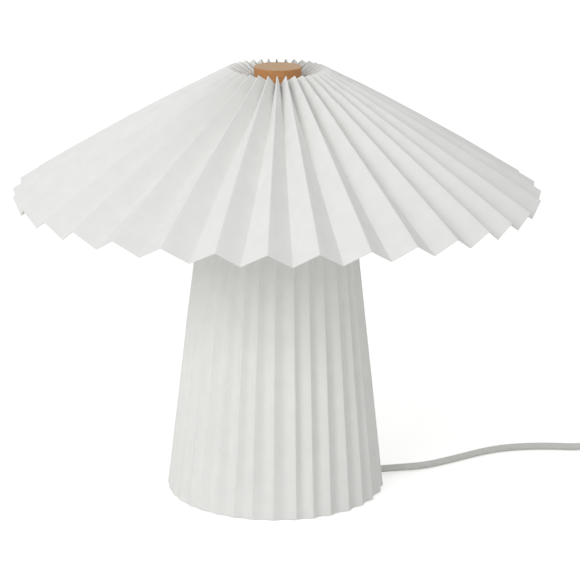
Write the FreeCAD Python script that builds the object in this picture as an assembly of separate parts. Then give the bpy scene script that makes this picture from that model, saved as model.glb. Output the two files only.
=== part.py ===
import FreeCAD, Part
import math
import os

# A pleated paper table lamp: a wide pleated paper shade on a tapering pleated paper
# skirt, closed at the top by a round wooden knob. Inside stand a cast base weight, a
# stem, a small screw lampholder with a globe bulb, and a wire bow that carries the shade.
# Units are millimetres. +Z is up, the origin is on the table at the centre of the base,
# and the front of the lamp looks along -Y. "Angle" is measured from the front towards +X.

V = FreeCAD.Vector
UP = V(0, 0, 1)

# ---- clearances ----
SEAT = 0.05            # between pieces of one body that are clamped or glued together
RUNNING = 0.06         # radial clearance of a turning or screwed fit
FREE = 0.3             # between pieces of different bodies
RESTING = 0.1          # between flat faces of different bodies that rest on each other
OVER = 1.0             # how far a cutting shape runs past what it cuts
TOUCH = 0.01           # nearer than this is the same place, when an edge is looked up

# ---- paper ----
PAPER = 0.4            # thickness of the lined paper
FOLD_LIMIT = 1.2       # most that a sharp fold thickens the paper, along its slope's normal

# ---- shade: outer fold edges, from the rim to the top ----
SHADE_PLEATS = 35
SHADE_PHASE = -1.9     # angle of the fold nearest the front, in degrees
SHADE_RADIUS = 210.0
SHADE_RIM_Z = 249.1
SHADE_TOP_RADIUS = 38.8
SHADE_TOP_Z = 346.6
SHADE_BULGE = 2.0      # how far a fold edge bows out at its middle
SHADE_DEPTH = 11.7     # fold depth, square to the slope

# ---- skirt: outer fold edges, from the table to the top ----
SKIRT_PLEATS = 36
SKIRT_PHASE = -0.9
SKIRT_RADIUS = 88.5
SKIRT_TOP_RADIUS = 59.7
SKIRT_LIFT = 1.0       # height of its lower edge above the table
SKIRT_TOP_Z = 250.0
SKIRT_DEPTH = 6.3

# ---- base weight and foot pad ----
PAD_THICK = 1.5
PAD_INSET = 5.0        # pad edge inside the weight's edge
WEIGHT_THICK = 10.5
BOSS_RADIUS = 17.0
BOSS_Z = 20.0
BOSS_FILLET = 4.0
WELL_RADIUS = 14.5
WELL_ROOF = 6.5        # iron left above the well
RIM_EASE = 1.2
PAD_SLOT_LEAD = 2.0    # the pad's slot starts this far before the strain relief

# ---- cord and its way through the base ----
CORD_DIAMETER = 6.0
CORD_FLOOR_GAP = 0.05
EXIT_BEARING = 14.0    # degrees from +X towards +Y
EXIT_INSET = 1.5       # strain relief's tip inside the skirt's outer folds, at the table
EXIT_Z = 4.6
CORD_BEND = 12.0       # bend from the groove up into the stem
GROOVE_ROOF = 9.0
GROOVE_WIDTH = 10.0
NOTCH_CLEAR = 0.7      # round the strain relief, in the skirt's notch

# ---- strain relief ----
RELIEF_LENGTH = 25.0
RELIEF_RADIUS = 4.1
RELIEF_TIP_RADIUS = 3.5
FLANGE_WIDTH = 15.0
FLANGE_THICK = 2.4
FLANGE_FROM_ROOT = 4.0
FLANGE_Z = 1.7

# ---- stem ----
ROD_RADIUS = 5.0       # threaded tube, M10 x 1
ROD_BORE = 3.7
STEM_RADIUS = 6.5
STEM_WALL = 1.0
ROD_IN_HOLDER = 6.0
CORD_PAST_ROD = 2.0
WASHER_RADIUS = 9.0
WASHER_THICK = 1.2
NUT_FLATS = 14.0
NUT_HEIGHT = 3.0

# ---- skirt frame ----
FRAME_WIRE = 3.0
UPRIGHTS = 4
UPRIGHT_INSET = 8.15   # from the weight's upper edge
UPRIGHT_SINK = 5.0
UPRIGHT_BEARING = 45.0
FRAME_RING_DROP = 4.0  # ring centre below the skirt's top

# ---- bow that carries the shade ----
SADDLE_THICK = 1.5
SADDLE_WIDTH = 11.0
BOW_WIRE = 3.5
BOW_FOOT = 19.5        # half width at the saddle
BOW_HALF = 33.0        # half width beside the bulb
BOW_TOP_BEND = 17.0
BOW_STRAIGHT = 6.0     # bare wire above the sleeve, before it leans out
BOW_SPREAD = 32.0      # rise over which it leans out
SOCKET_WALL = 1.6
SOCKET_HEIGHT = 10.0
SLEEVE_LENGTH = 12.0
BOSS_WALL = 3.2        # of the stud's foot, round the bow wire
STUD_FOOT_DROP = 1.2   # its foot reaches this far below the wire
STUD_RADIUS = 4.0      # M8 x 1
STUD_SEAT_RADIUS = 8.5
STUD_SEAT_THICK = 2.4

# ---- shade carrier and knob ----
HUB_RADIUS = 11.0
HUB_THICK = 1.9
ARMS = 3
ARM_BEARING = 90.0
ARM_WIRE = 1.8
ARM_PAST_KNOB = 2.0    # where an arm bends down, outside the knob's edge
CARRIER_WIRE = 3.0
CARRIER_INSET = 6.0    # carrier ring below the top of the pleats, along the slope
KNOB_RADIUS = 18.8
KNOB_HEIGHT = 16.0
KNOB_ABOVE = 0.5       # knob top above the highest fold ends
KNOB_EASE = 0.6
INSERT_RADIUS = 6.0
INSERT_LENGTH = 9.5
INSERT_FLANGE = 1.0
INSERT_RIM = 1.5       # flange beyond the insert's side
HOLE_END = 1.0         # air left above the insert

# ---- lampholder, E14 ----
HOLDER_RADIUS = 14.0
HOLDER_NECK = 8.0
NECK_HEIGHT = 4.0
SHOULDER_HEIGHT = 9.0  # where the lower half reaches its full width
HOLDER_FLOOR = 7.5
HOLDER_EASE = 1.0
HOLDER_WALL = 1.5
SPIGOT_WALL = 1.0      # of the lower half, where it reaches into the upper half
SPIGOT_HEIGHT = 4.0
CAP_HEIGHT = 21.0
SHELL_HEIGHT = 32.0
MOUTH_LIP = 2.2
LIP_THICK = 2.0
MOUTH_EASE = 0.8
CORE_HEIGHT = 7.0
CORE_SINK = 1.5        # its underside below the joint of the two halves
CORE_COLLAR_WALL = 1.3
CORE_COLLAR_HEIGHT = 19.0
THREAD_RADIUS = 6.95   # outside of the bulb's screw cap
THREAD_SLEEVE = 0.45   # thickness of the brass screw sleeve
SLEEVE_HEIGHT = 25.0
LEAF_HALF = 5.5
LEAF_WIDTH = 4.0
LEAF_THICK = 0.5
CONTACT_HEIGHT = 3.0   # from the core's top to the bulb's tip
TERMINAL_RADIUS = 1.9
TERMINAL_DEPTH = 4.0
TERMINAL_HEAD = 1.6    # how far a screw stands out of the core
TERMINAL_WALL = 1.0    # core left outside a screw's hole
SLOT_WIDTH = 0.7
SLOT_DEPTH = 0.7
LEAD_RADIUS = 0.9
LEAD_OFFSET = 1.5
LEAD_RISE = 2.0
LEAD_END = 2.6

# ---- bulb ----
TIP_RADIUS = 2.4
TIP_FACE_RADIUS = 1.6
TIP_HEIGHT = 1.8
GLASS_RADIUS = 5.2
GLASS_FACE_RADIUS = 3.4
GLASS_HEIGHT = 1.7
SCREW_CAP_HEIGHT = 21.0
SCREW_CAP_SHOULDER = 2.0
SCREW_CAP_WALL = 0.4
SCREW_CAP_LIP = 1.5    # turned in round the insulator
COLLAR_HEIGHT = 12.0
COLLAR_RADIUS = 14.6
COLLAR_FOOT_RADIUS = 7.6
COLLAR_WAIST_RADIUS = 9.0
COLLAR_WAIST = 4.0
COLLAR_SPIGOT = 6.0
COLLAR_STEP = 2.5      # ledge on which the globe sits
COLLAR_STEP_HEIGHT = 1.0
GLOBE_RADIUS = 22.5
GLOBE_WALL = 1.2
BULB_CLEAR = 23.6      # from the globe to the stud's foot, room to unscrew the bulb

# ---- in-line switch ----
SWITCH_LENGTH = 62.0
SWITCH_WIDTH = 27.0
SWITCH_NECK = 11.0     # width at the two ends
SWITCH_SHOULDER = 15.0 # length over which it widens
SWITCH_CORNER = 3.0
SWITCH_TOP_EASE = 1.5
SWITCH_LOWER = 8.0     # height of the lower half
SWITCH_UPPER = 7.0     # height of the upper half
SWITCH_WALL = 1.6
SWITCH_CORD_Z = 6.0
ROCKER_LENGTH = 19.0
ROCKER_WIDTH = 11.0
ROCKER_PIVOT_Z = 11.5
ROCKER_TILT = 7.0      # either side of level, in degrees
ROCKER_PIN = 1.2
ROCKER_PIN_GRIP = 1.8  # how far a pin reaches into the housing
ROCKER_GAP = 0.6       # at the rocker's ends
ROCKER_PROUD = 1.2     # its ends above the housing
ROCKER_HOLLOW = 1.2    # depth of the hollow along its top
ROCKER_TAPER = 1.2
ROCKER_SKIRT = 0.5     # its ends reach this far below the pivot
ROCKER_KEEL = 2.5
ROCKER_FRAME = 1.5     # housing round the rocker, at its ends
ROCKER_FRAME_SIDE = 2.5
SCREW_AT = 17.5        # from the switch's middle
SCREW_RADIUS = 1.25
SCREW_HOLE = 1.55
SCREW_HEAD = 2.8
SCREW_HEAD_DEPTH = 2.0
SCREW_SINK = 0.4
SCREW_BOSS = 3.2
SCREW_GRIP = 4.0       # in the upper half
CROSS_REACH = 1.6

# ---- plug, flat two-pin ----
PLUG_WIDTH = 35.0
PLUG_HEIGHT = 13.7
PLUG_BODY = 25.0
PLUG_NECK = 14.0
PLUG_NECK_RADIUS = 5.0
PLUG_NECK_TIP = 4.0
PLUG_SHOULDER = 7.0    # twice this from the neck to its full width
PLUG_SHOULDER_WIDTH = 25.2
PLUG_DRAFT = 1.2       # how far the face with the pins draws in
PLUG_CORNER = 4.5
PLUG_FLAT = 0.5
PIN_RADIUS = 2.0
PIN_LENGTH = 19.0
PIN_SPACING = 19.0
PIN_SLEEVE = 10.0
PIN_SLEEVE_WALL = 0.3
PIN_TIP = 1.2

# ---- cord coil ----
COIL_RADIUS = 40.5     # of its first half turn
COIL_PITCH = 6.5       # between turns that lie side by side
COIL_LIFT = 6.45       # between its two layers
COIL_IN = 5            # half turns inwards, on the table
COIL_OUT = 6           # half turns outwards, on top
COIL_STEP_CHECKED = 3.0  # spacing of the points on which its least gap is measured
COIL_NEIGHBOUR = 4     # cord diameters that count as the same strand

# ---- places that follow from the sizes above ----
CORD_RADIUS = CORD_DIAMETER / 2
CORD_Z = CORD_RADIUS + CORD_FLOOR_GAP
EXIT_RADIUS = SKIRT_RADIUS - EXIT_INSET
RELIEF_ROOT = EXIT_RADIUS - RELIEF_LENGTH
FLANGE_AT = RELIEF_ROOT + FLANGE_FROM_ROOT
WEIGHT_Z = PAD_THICK
WEIGHT_TOP = WEIGHT_Z + WEIGHT_THICK
WELL_TOP = BOSS_Z - WELL_ROOF

# From the shade's top down: the knob sits on the hub, the hub on the stud's seat.
KNOB_TOP = SHADE_TOP_Z + KNOB_ABOVE
KNOB_Z = KNOB_TOP - KNOB_HEIGHT
HUB_TOP = KNOB_Z - RESTING
HUB_Z = HUB_TOP - HUB_THICK
SEAT_TOP = HUB_Z - RESTING
SEAT_Z = SEAT_TOP - STUD_SEAT_THICK
BOW_RADIUS = BOW_WIRE / 2
BOW_Z = SEAT_Z - BOW_RADIUS            # centre of the bow's top run
STUD_FOOT_Z = BOW_Z - BOW_RADIUS - STUD_FOOT_DROP

# The bulb hangs its clearance below that, and the holder and the stem follow down.
GLOBE_RISE = math.sqrt(GLOBE_RADIUS ** 2 - COLLAR_RADIUS ** 2)
GLOBE_CENTRE_Z = STUD_FOOT_Z - BULB_CLEAR - GLOBE_RADIUS
GLOBE_Z = GLOBE_CENTRE_Z - GLOBE_RISE
COLLAR_TOP = GLOBE_Z - SEAT
COLLAR_Z = COLLAR_TOP - COLLAR_HEIGHT
SCREW_CAP_Z = COLLAR_Z - SEAT - SCREW_CAP_HEIGHT
TIP_Z = SCREW_CAP_Z - GLASS_HEIGHT - TIP_HEIGHT
CORE_TOP = TIP_Z - CONTACT_HEIGHT
CORE_Z = CORE_TOP - CORE_HEIGHT
SHELL_Z = CORE_Z + CORE_SINK
MOUTH_Z = SHELL_Z + SHELL_HEIGHT
HOLDER_Z = SHELL_Z - SEAT - CAP_HEIGHT
NUT_Z = HOLDER_Z - SEAT - NUT_HEIGHT
SADDLE_Z = NUT_Z - SEAT - SADDLE_THICK
WASHER_Z = SADDLE_Z - SEAT - WASHER_THICK
STEM_TOP = WASHER_Z - SEAT
STEM_Z = BOSS_Z + SEAT
ROD_FOOT = WELL_TOP + SEAT
ROD_TOP = HOLDER_Z + ROD_IN_HOLDER
CORD_TOP = ROD_TOP + CORD_PAST_ROD
CORE_RADIUS = HOLDER_RADIUS - HOLDER_WALL - SPIGOT_WALL - 3 * SEAT
TERMINAL_AT = CORE_RADIUS - TERMINAL_RADIUS - TERMINAL_WALL


# ---------------------------------------------------------------- small helpers
def cylinder(radius, low, high, x=0.0, y=0.0):
    return Part.makeCylinder(radius, high - low, V(x, y, low), UP)


def ring(outer, inner, low, high, x=0.0, y=0.0):
    return cylinder(outer, low, high, x, y).cut(cylinder(inner, low - OVER, high + OVER, x, y))


def revolve(profile):
    """Turn a closed outline of (radius, height) points about the lamp's axis."""
    points = [V(radius, 0, height) for radius, height in profile]
    face = Part.Face(Part.makePolygon(points + points[:1]))
    return face.revolve(V(0, 0, 0), UP, 360)


def block(x_low, x_high, y_low, y_high, low, high):
    return Part.makeBox(x_high - x_low, y_high - y_low, high - low, V(x_low, y_low, low))


def bearing(radius, degrees, height):
    """A point at a bearing from +X towards +Y."""
    angle = math.radians(degrees)
    return V(radius * math.cos(angle), radius * math.sin(angle), height)


def hexagon(flats, low, high):
    across = flats / math.sqrt(3)
    corners = [V(across * math.cos(k * math.pi / 3), across * math.sin(k * math.pi / 3), low)
               for k in range(6)]
    return Part.Face(Part.makePolygon(corners + corners[:1])).extrude(V(0, 0, high - low))


def round_edges(shape, radius, height):
    """A shape's circular edges of this radius that lie level at this height."""
    return [edge for edge in shape.Edges
            if isinstance(edge.Curve, Part.Circle) and abs(edge.Curve.Radius - radius) < TOUCH
            and abs(edge.CenterOfMass.z - height) < TOUCH]


def turned(shape, degrees, centre=V(0, 0, 0), axis=UP):
    copy = shape.copy()
    copy.rotate(centre, axis, degrees)
    return copy


def moved(shape, offset):
    copy = shape.copy()
    copy.translate(offset)
    return copy


def rounded_path(points, bend=None):
    """Straight runs joined by tangent arcs, each as large as its two runs allow,
    or of the radius given. Gives the edges and the arcs' radii."""
    edges, radii = [], []
    start = points[0]
    for before, corner, after in zip(points, points[1:], points[2:]):
        back, ahead = before - corner, after - corner
        shorter = min(back.Length, ahead.Length)
        back.normalize()
        ahead.normalize()
        half_turn = (math.pi - back.getAngle(ahead)) / 2
        radius = bend or 0.45 * shorter / math.tan(half_turn)
        cut = radius * math.tan(half_turn)
        inward = (back + ahead).normalize()
        middle = corner + inward * (radius / math.cos(half_turn) - radius)
        first, last = corner + back * cut, corner + ahead * cut
        edges.append(Part.LineSegment(start, first).toShape())
        edges.append(Part.Arc(first, middle, last).toShape())
        radii.append(radius)
        start = last
    edges.append(Part.LineSegment(start, points[-1]).toShape())
    return edges, radii


def tube_along(edges, radius):
    path = Part.Wire(edges)
    start = edges[0].Vertexes[0].Point
    along = edges[0].tangentAt(edges[0].FirstParameter)
    section = Part.Wire(Part.makeCircle(radius, start, along))
    return path.makePipeShell([section], True, False)


def report_tube(name, shape, edges, radii, radius=CORD_RADIUS):
    length = sum(edge.Length for edge in edges)
    expected = math.pi * radius ** 2 * length
    print("%s: length %.1f, volume %.0f of %.0f, radii %s"
          % (name, length, shape.Volume, expected, [round(value) for value in radii]))
    return length


# ---------------------------------------------------------------- pleated paper
def fold_point(angle, radius, height):
    return V(radius * math.sin(angle), -radius * math.cos(angle), height)


class Slope:
    """The line of the outer fold edges, seen in a plane through the axis."""

    def __init__(self, low, high, bulge, depth, pleats):
        self.low, self.high, self.bulge, self.depth = low, high, bulge, depth
        run, rise = high[0] - low[0], high[1] - low[1]
        self.length = math.hypot(run, rise)
        self.along = (run / self.length, rise / self.length)
        self.inward = (-self.along[1], self.along[0])
        self.half_pitch = math.pi / pleats

    def place(self, along, inward):
        """Radius and height at a distance along the slope and inward from it."""
        share = along / self.length
        inward = inward - 4 * self.bulge * share * (1 - share)
        return (self.low[0] + self.along[0] * along + self.inward[0] * inward,
                self.low[1] + self.along[1] * along + self.inward[1] * inward)

    def thicken(self, end_radius):
        """How far the inner skin lies from the outer one, so that the walls keep
        the paper's thickness at a fold this sharp."""
        spread = end_radius * math.sin(self.half_pitch)
        return min(PAPER * math.hypot(spread, self.depth) / spread, FOLD_LIMIT)

    def inner_low(self):
        return self.depth + self.thicken(self.low[0])

    def inner_high(self):
        return self.depth + self.thicken(self.high[0])

    def fold(self, angle, low_in, high_in):
        """One fold edge, from the lower end to the upper one."""
        ends = [fold_point(angle, *self.place(0, low_in)),
                fold_point(angle, *self.place(self.length, high_in))]
        if self.bulge == 0:
            return Part.LineSegment(*ends).toShape()
        middle = fold_point(angle, *self.place(self.length / 2, (low_in + high_in) / 2))
        return Part.Arc(ends[0], middle, ends[1]).toShape()


SHADE = Slope((SHADE_RADIUS, SHADE_RIM_Z), (SHADE_TOP_RADIUS, SHADE_TOP_Z),
              SHADE_BULGE, SHADE_DEPTH, SHADE_PLEATS)
SKIRT = Slope((SKIRT_RADIUS, SKIRT_LIFT), (SKIRT_TOP_RADIUS, SKIRT_TOP_Z),
              0, SKIRT_DEPTH, SKIRT_PLEATS)


def pleated_paper(slope, pleats, phase):
    """A closed ring of folded paper: every face spans from an outer fold edge to the
    next inner one, with an inner skin behind it and a cut edge at both ends."""
    low_wall = slope.thicken(slope.low[0])
    high_wall = slope.thicken(slope.high[0])
    folds = []
    for index in range(2 * pleats):
        angle = math.radians(phase) + index * slope.half_pitch
        depth = slope.depth * (index % 2)
        outer = slope.fold(angle, depth, depth)
        inner = slope.fold(angle, depth + low_wall, depth + high_wall)
        folds.append((outer, inner))
    faces = []
    for (outer, inner), (next_outer, next_inner) in zip(folds, folds[1:] + folds[:1]):
        faces.append(Part.makeRuledSurface(outer, next_outer))
        faces.append(Part.makeRuledSurface(inner, next_inner))
        for end in (0, -1):
            across = [Part.LineSegment(a.Vertexes[end].Point, b.Vertexes[end].Point).toShape()
                      for a, b in ((outer, next_outer), (inner, next_inner))]
            faces.append(Part.makeRuledSurface(*across))
    shell = Part.makeShell(faces)
    shell.sewShape()
    solid = Part.makeSolid(Part.Shell(shell.Faces))
    if solid.Volume < 0:
        solid.reverse()
    return solid


def shade_paper():
    return pleated_paper(SHADE, SHADE_PLEATS, SHADE_PHASE)


def skirt_paper():
    """The skirt, with an arched notch for the cord in its lower edge."""
    skirt = pleated_paper(SKIRT, SKIRT_PLEATS, SKIRT_PHASE)
    half = RELIEF_RADIUS + NOTCH_CLEAR
    reach = (SKIRT_RADIUS - SKIRT_DEPTH * 2, SKIRT_RADIUS + SKIRT_DEPTH)
    arch = Part.makeCylinder(half, reach[1] - reach[0], V(reach[0], 0, EXIT_Z), V(1, 0, 0))
    gap = arch.fuse(block(*reach, -half, half, -SKIRT_LIFT, EXIT_Z))
    return skirt.cut(turned(gap, EXIT_BEARING))


# ---------------------------------------------------------------- base
def weight_radius(height):
    """The weight's edge follows the inner folds of the skirt."""
    share = (height - SKIRT_LIFT) / (SKIRT_TOP_Z - SKIRT_LIFT)
    low = SKIRT.place(0, SKIRT.inner_low())[0]
    high = SKIRT.place(SKIRT.length, SKIRT.inner_high())[0]
    return low + (high - low) * share - FREE


def groove(width, start, end, low, high):
    """A straight cut towards the cord's way out."""
    return turned(block(start, end, -width / 2, width / 2, low, high), EXIT_BEARING)


def foot_pad():
    pad = cylinder(weight_radius(WEIGHT_Z) - PAD_INSET, 0, PAD_THICK - SEAT)
    return pad.cut(groove(GROOVE_WIDTH, RELIEF_ROOT - PAD_SLOT_LEAD, SKIRT_RADIUS, -OVER, PAD_THICK))


def base_weight():
    edge_low, edge_high = weight_radius(WEIGHT_Z), weight_radius(WEIGHT_TOP)
    body = revolve([
        (ROD_RADIUS + SEAT, BOSS_Z), (BOSS_RADIUS, BOSS_Z), (BOSS_RADIUS, WEIGHT_TOP),
        (edge_high, WEIGHT_TOP), (edge_low, WEIGHT_Z), (WELL_RADIUS, WEIGHT_Z),
        (WELL_RADIUS, WELL_TOP), (ROD_RADIUS + SEAT, WELL_TOP)])
    body = body.makeFillet(BOSS_FILLET, round_edges(body, BOSS_RADIUS, WEIGHT_TOP))
    body = body.makeFillet(RIM_EASE, round_edges(body, edge_high, WEIGHT_TOP)
                           + round_edges(body, BOSS_RADIUS, BOSS_Z))
    body = body.cut(groove(GROOVE_WIDTH, 0, SKIRT_RADIUS, 0, GROOVE_ROOF))
    body = body.cut(groove(FLANGE_WIDTH + 2 * SEAT, FLANGE_AT - SEAT,
                           FLANGE_AT + FLANGE_THICK + SEAT, 0, GROOVE_ROOF))
    for foot, head in upright_lines():
        along = (head - foot).normalize()
        body = body.cut(Part.makeCylinder(FRAME_WIRE / 2 + SEAT, (head - foot).Length,
                                          foot - along * SEAT, along))
    return body


def frame_ring_place():
    """Radius and height of the ring that the top of the skirt rests against."""
    along = SKIRT.length - FRAME_RING_DROP
    return SKIRT.place(along, SKIRT.inner_high() + FREE / 2 + FRAME_WIRE / 2)


def upright_lines():
    radius, height = frame_ring_place()
    foot_radius = weight_radius(WEIGHT_TOP) - UPRIGHT_INSET
    lean = (foot_radius - radius) / (height - WEIGHT_TOP)
    lines = []
    for index in range(UPRIGHTS):
        degrees = UPRIGHT_BEARING + index * 360 / UPRIGHTS
        foot = bearing(foot_radius + lean * UPRIGHT_SINK, degrees, WEIGHT_TOP - UPRIGHT_SINK)
        lines.append((foot, bearing(radius, degrees, height)))
    return lines


def skirt_frame():
    radius, height = frame_ring_place()
    frame = Part.makeTorus(radius, FRAME_WIRE / 2, V(0, 0, height))
    for foot, head in upright_lines():
        along = head - foot
        frame = frame.fuse(Part.makeCylinder(FRAME_WIRE / 2, along.Length, foot, along))
    return frame


def strain_relief():
    """A tapered sleeve with a square flange that sits in the weight's groove."""
    sleeve = Part.makeCone(RELIEF_RADIUS, RELIEF_TIP_RADIUS, RELIEF_LENGTH,
                           V(RELIEF_ROOT, 0, EXIT_Z), V(1, 0, 0))
    half = FLANGE_WIDTH / 2
    flange = block(FLANGE_AT, FLANGE_AT + FLANGE_THICK, -half, half, FLANGE_Z, GROOVE_ROOF - SEAT)
    bore = Part.makeCylinder(CORD_RADIUS + SEAT, RELIEF_LENGTH + 2 * OVER,
                             V(RELIEF_ROOT - OVER, 0, EXIT_Z), V(1, 0, 0))
    return turned(sleeve.fuse(flange).cut(bore), EXIT_BEARING)


def base_cord():
    """The cord inside the lamp: along the groove and up through the stem."""
    edges, _ = rounded_path([bearing(EXIT_RADIUS, EXIT_BEARING, EXIT_Z), V(0, 0, EXIT_Z),
                             V(0, 0, CORD_TOP)], bend=CORD_BEND)
    return tube_along(edges, CORD_RADIUS)


# ---------------------------------------------------------------- stem
def threaded_rod():
    return ring(ROD_RADIUS, ROD_BORE, ROD_FOOT, ROD_TOP)


def stem_tube():
    return ring(STEM_RADIUS, STEM_RADIUS - STEM_WALL, STEM_Z, STEM_TOP)


def stem_washer():
    return ring(WASHER_RADIUS, ROD_RADIUS + SEAT, WASHER_Z, WASHER_Z + WASHER_THICK)


def stem_nut():
    nut = hexagon(NUT_FLATS, NUT_Z, NUT_Z + NUT_HEIGHT)
    return nut.cut(cylinder(ROD_RADIUS + SEAT, NUT_Z - OVER, NUT_Z + NUT_HEIGHT + OVER))


# ---------------------------------------------------------------- shade bow
def bow_points():
    """The bow wire's line, from one foot over the bulb to the other."""
    foot_z = SADDLE_Z + SADDLE_THICK + SEAT
    shoulder = foot_z + SOCKET_HEIGHT + SLEEVE_LENGTH + BOW_STRAIGHT
    wide = shoulder + BOW_SPREAD
    right = [V(BOW_FOOT, 0, foot_z), V(BOW_FOOT, 0, shoulder), V(BOW_HALF, 0, wide)]
    top = [V(BOW_HALF, 0, BOW_Z), V(-BOW_HALF, 0, BOW_Z)]
    return right + top + [V(-point.x, 0, point.z) for point in reversed(right)]


def bow_wire(radius):
    edges, _ = rounded_path(bow_points(), bend=BOW_TOP_BEND)
    return tube_along(edges, radius)


def shade_bow():
    return bow_wire(BOW_RADIUS)


def bow_saddle():
    """A strip under the lampholder with a round socket standing at each end."""
    half = SADDLE_WIDTH / 2
    top = SADDLE_Z + SADDLE_THICK
    saddle = block(-BOW_FOOT, BOW_FOOT, -half, half, SADDLE_Z, top)
    for side in (-1, 1):
        saddle = saddle.fuse(cylinder(half, SADDLE_Z, top, side * BOW_FOOT))
        saddle = saddle.fuse(cylinder(BOW_RADIUS + SOCKET_WALL, SADDLE_Z, top + SOCKET_HEIGHT,
                                      side * BOW_FOOT))
    for side in (-1, 1):
        saddle = saddle.cut(cylinder(BOW_RADIUS + SEAT, top, top + SOCKET_HEIGHT + OVER,
                                     side * BOW_FOOT))
    return saddle.cut(cylinder(ROD_RADIUS + SEAT, SADDLE_Z - OVER, top + OVER)).removeSplitter()


def bow_sleeves():
    low = SADDLE_Z + SADDLE_THICK + SOCKET_HEIGHT + SEAT
    return Part.makeCompound([
        ring(BOW_RADIUS + SOCKET_WALL, BOW_RADIUS + SEAT, low, low + SLEEVE_LENGTH, side * BOW_FOOT)
        for side in (-1, 1)])


def bow_stud():
    """Foot round the bow wire, a round seat for the shade, and the stud for the knob."""
    stud = cylinder(BOW_RADIUS + BOSS_WALL, STUD_FOOT_Z, SEAT_Z)
    stud = stud.fuse(cylinder(STUD_SEAT_RADIUS, SEAT_Z, SEAT_TOP))
    stud = stud.fuse(cylinder(STUD_RADIUS, SEAT_TOP, KNOB_Z + INSERT_LENGTH))
    return stud.cut(bow_wire(BOW_RADIUS + SEAT)).removeSplitter()


# ---------------------------------------------------------------- shade carrier and knob
def shade_carrier():
    """Hub, arms and a wire ring that lies under the inner folds of the shade."""
    along = SHADE.length - CARRIER_INSET
    inward = SHADE.inner_high() + FREE / 2 + CARRIER_WIRE / 2
    radius, height = SHADE.place(along, inward)
    arm_z = HUB_Z + HUB_THICK / 2
    carrier = cylinder(HUB_RADIUS, HUB_Z, HUB_TOP)
    carrier = carrier.fuse(Part.makeTorus(radius, CARRIER_WIRE / 2, V(0, 0, height)))
    reach = KNOB_RADIUS + ARM_PAST_KNOB
    for index in range(ARMS):
        degrees = ARM_BEARING + index * 360 / ARMS
        line = [bearing(HUB_RADIUS / 2, degrees, arm_z), bearing(reach, degrees, arm_z),
                bearing(radius, degrees, height)]
        edges, _ = rounded_path(line)
        carrier = carrier.fuse(tube_along(edges, ARM_WIRE / 2))
    return carrier.cut(cylinder(STUD_RADIUS + FREE, HUB_Z - OVER, HUB_TOP + OVER))


def knob_insert():
    """Threaded brass insert, pressed into the knob from below."""
    bore, rim = STUD_RADIUS + RUNNING, INSERT_RADIUS + INSERT_RIM
    return revolve([
        (bore, KNOB_Z), (rim, KNOB_Z), (rim, KNOB_Z + INSERT_FLANGE),
        (INSERT_RADIUS, KNOB_Z + INSERT_FLANGE), (INSERT_RADIUS, KNOB_Z + INSERT_LENGTH),
        (bore, KNOB_Z + INSERT_LENGTH)])


def wooden_knob():
    """A plain turned disc, eased at its edges, with a blind hole for the insert."""
    hole = INSERT_RADIUS + RUNNING
    counterbore = hole + INSERT_RIM
    step = KNOB_Z + INSERT_FLANGE + RUNNING
    hole_top = KNOB_Z + INSERT_LENGTH + HOLE_END
    knob = revolve([
        (0, hole_top), (0, KNOB_TOP), (KNOB_RADIUS, KNOB_TOP), (KNOB_RADIUS, KNOB_Z),
        (counterbore, KNOB_Z), (counterbore, step), (hole, step), (hole, hole_top)])
    return knob.makeFillet(KNOB_EASE, round_edges(knob, KNOB_RADIUS, KNOB_TOP)
                           + round_edges(knob, KNOB_RADIUS, KNOB_Z))


# ---------------------------------------------------------------- lampholder
def holder_cap():
    """Lower half: it screws on the threaded rod and closes over the terminals."""
    spigot = HOLDER_RADIUS - HOLDER_WALL - SEAT
    inside = spigot - SPIGOT_WALL
    bore = ROD_RADIUS + SEAT
    top, floor = HOLDER_Z + CAP_HEIGHT, HOLDER_Z + HOLDER_FLOOR
    shoulder = HOLDER_Z + SHOULDER_HEIGHT
    cap = revolve([
        (bore, HOLDER_Z), (HOLDER_NECK, HOLDER_Z), (HOLDER_NECK, HOLDER_Z + NECK_HEIGHT),
        (HOLDER_RADIUS, shoulder), (HOLDER_RADIUS, top), (spigot, top),
        (spigot, top + SPIGOT_HEIGHT), (inside, top + SPIGOT_HEIGHT), (inside, floor + HOLDER_EASE),
        (inside - HOLDER_EASE, floor), (bore, floor)])
    return cap.makeFillet(HOLDER_EASE, round_edges(cap, HOLDER_RADIUS, shoulder))


def holder_shell():
    """Upper half, open at the mouth where the bulb goes in."""
    inside = HOLDER_RADIUS - HOLDER_WALL
    mouth = HOLDER_RADIUS - MOUTH_LIP
    lip_foot = MOUTH_Z - LIP_THICK
    shell = revolve([
        (inside, SHELL_Z), (HOLDER_RADIUS, SHELL_Z), (HOLDER_RADIUS, MOUTH_Z), (mouth, MOUTH_Z),
        (mouth, lip_foot), (inside, lip_foot - (inside - mouth))])
    return shell.makeFillet(MOUTH_EASE, round_edges(shell, HOLDER_RADIUS, MOUTH_Z))


def holder_core():
    """Insulating core: a disc with a collar that holds the brass screw sleeve."""
    collar = THREAD_RADIUS + RUNNING + THREAD_SLEEVE + SEAT
    core = cylinder(CORE_RADIUS, CORE_Z, CORE_TOP)
    core = core.fuse(ring(collar + CORE_COLLAR_WALL, collar, CORE_TOP, CORE_TOP + CORE_COLLAR_HEIGHT))
    for side in (-1, 1):
        core = core.cut(cylinder(TERMINAL_RADIUS + SEAT, CORE_Z - OVER, CORE_Z + TERMINAL_DEPTH,
                                 side * TERMINAL_AT))
    return core.removeSplitter()


def screw_sleeve():
    inside = THREAD_RADIUS + RUNNING
    low = CORE_TOP + SEAT
    return ring(inside + THREAD_SLEEVE, inside, low, low + SLEEVE_HEIGHT)


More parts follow.
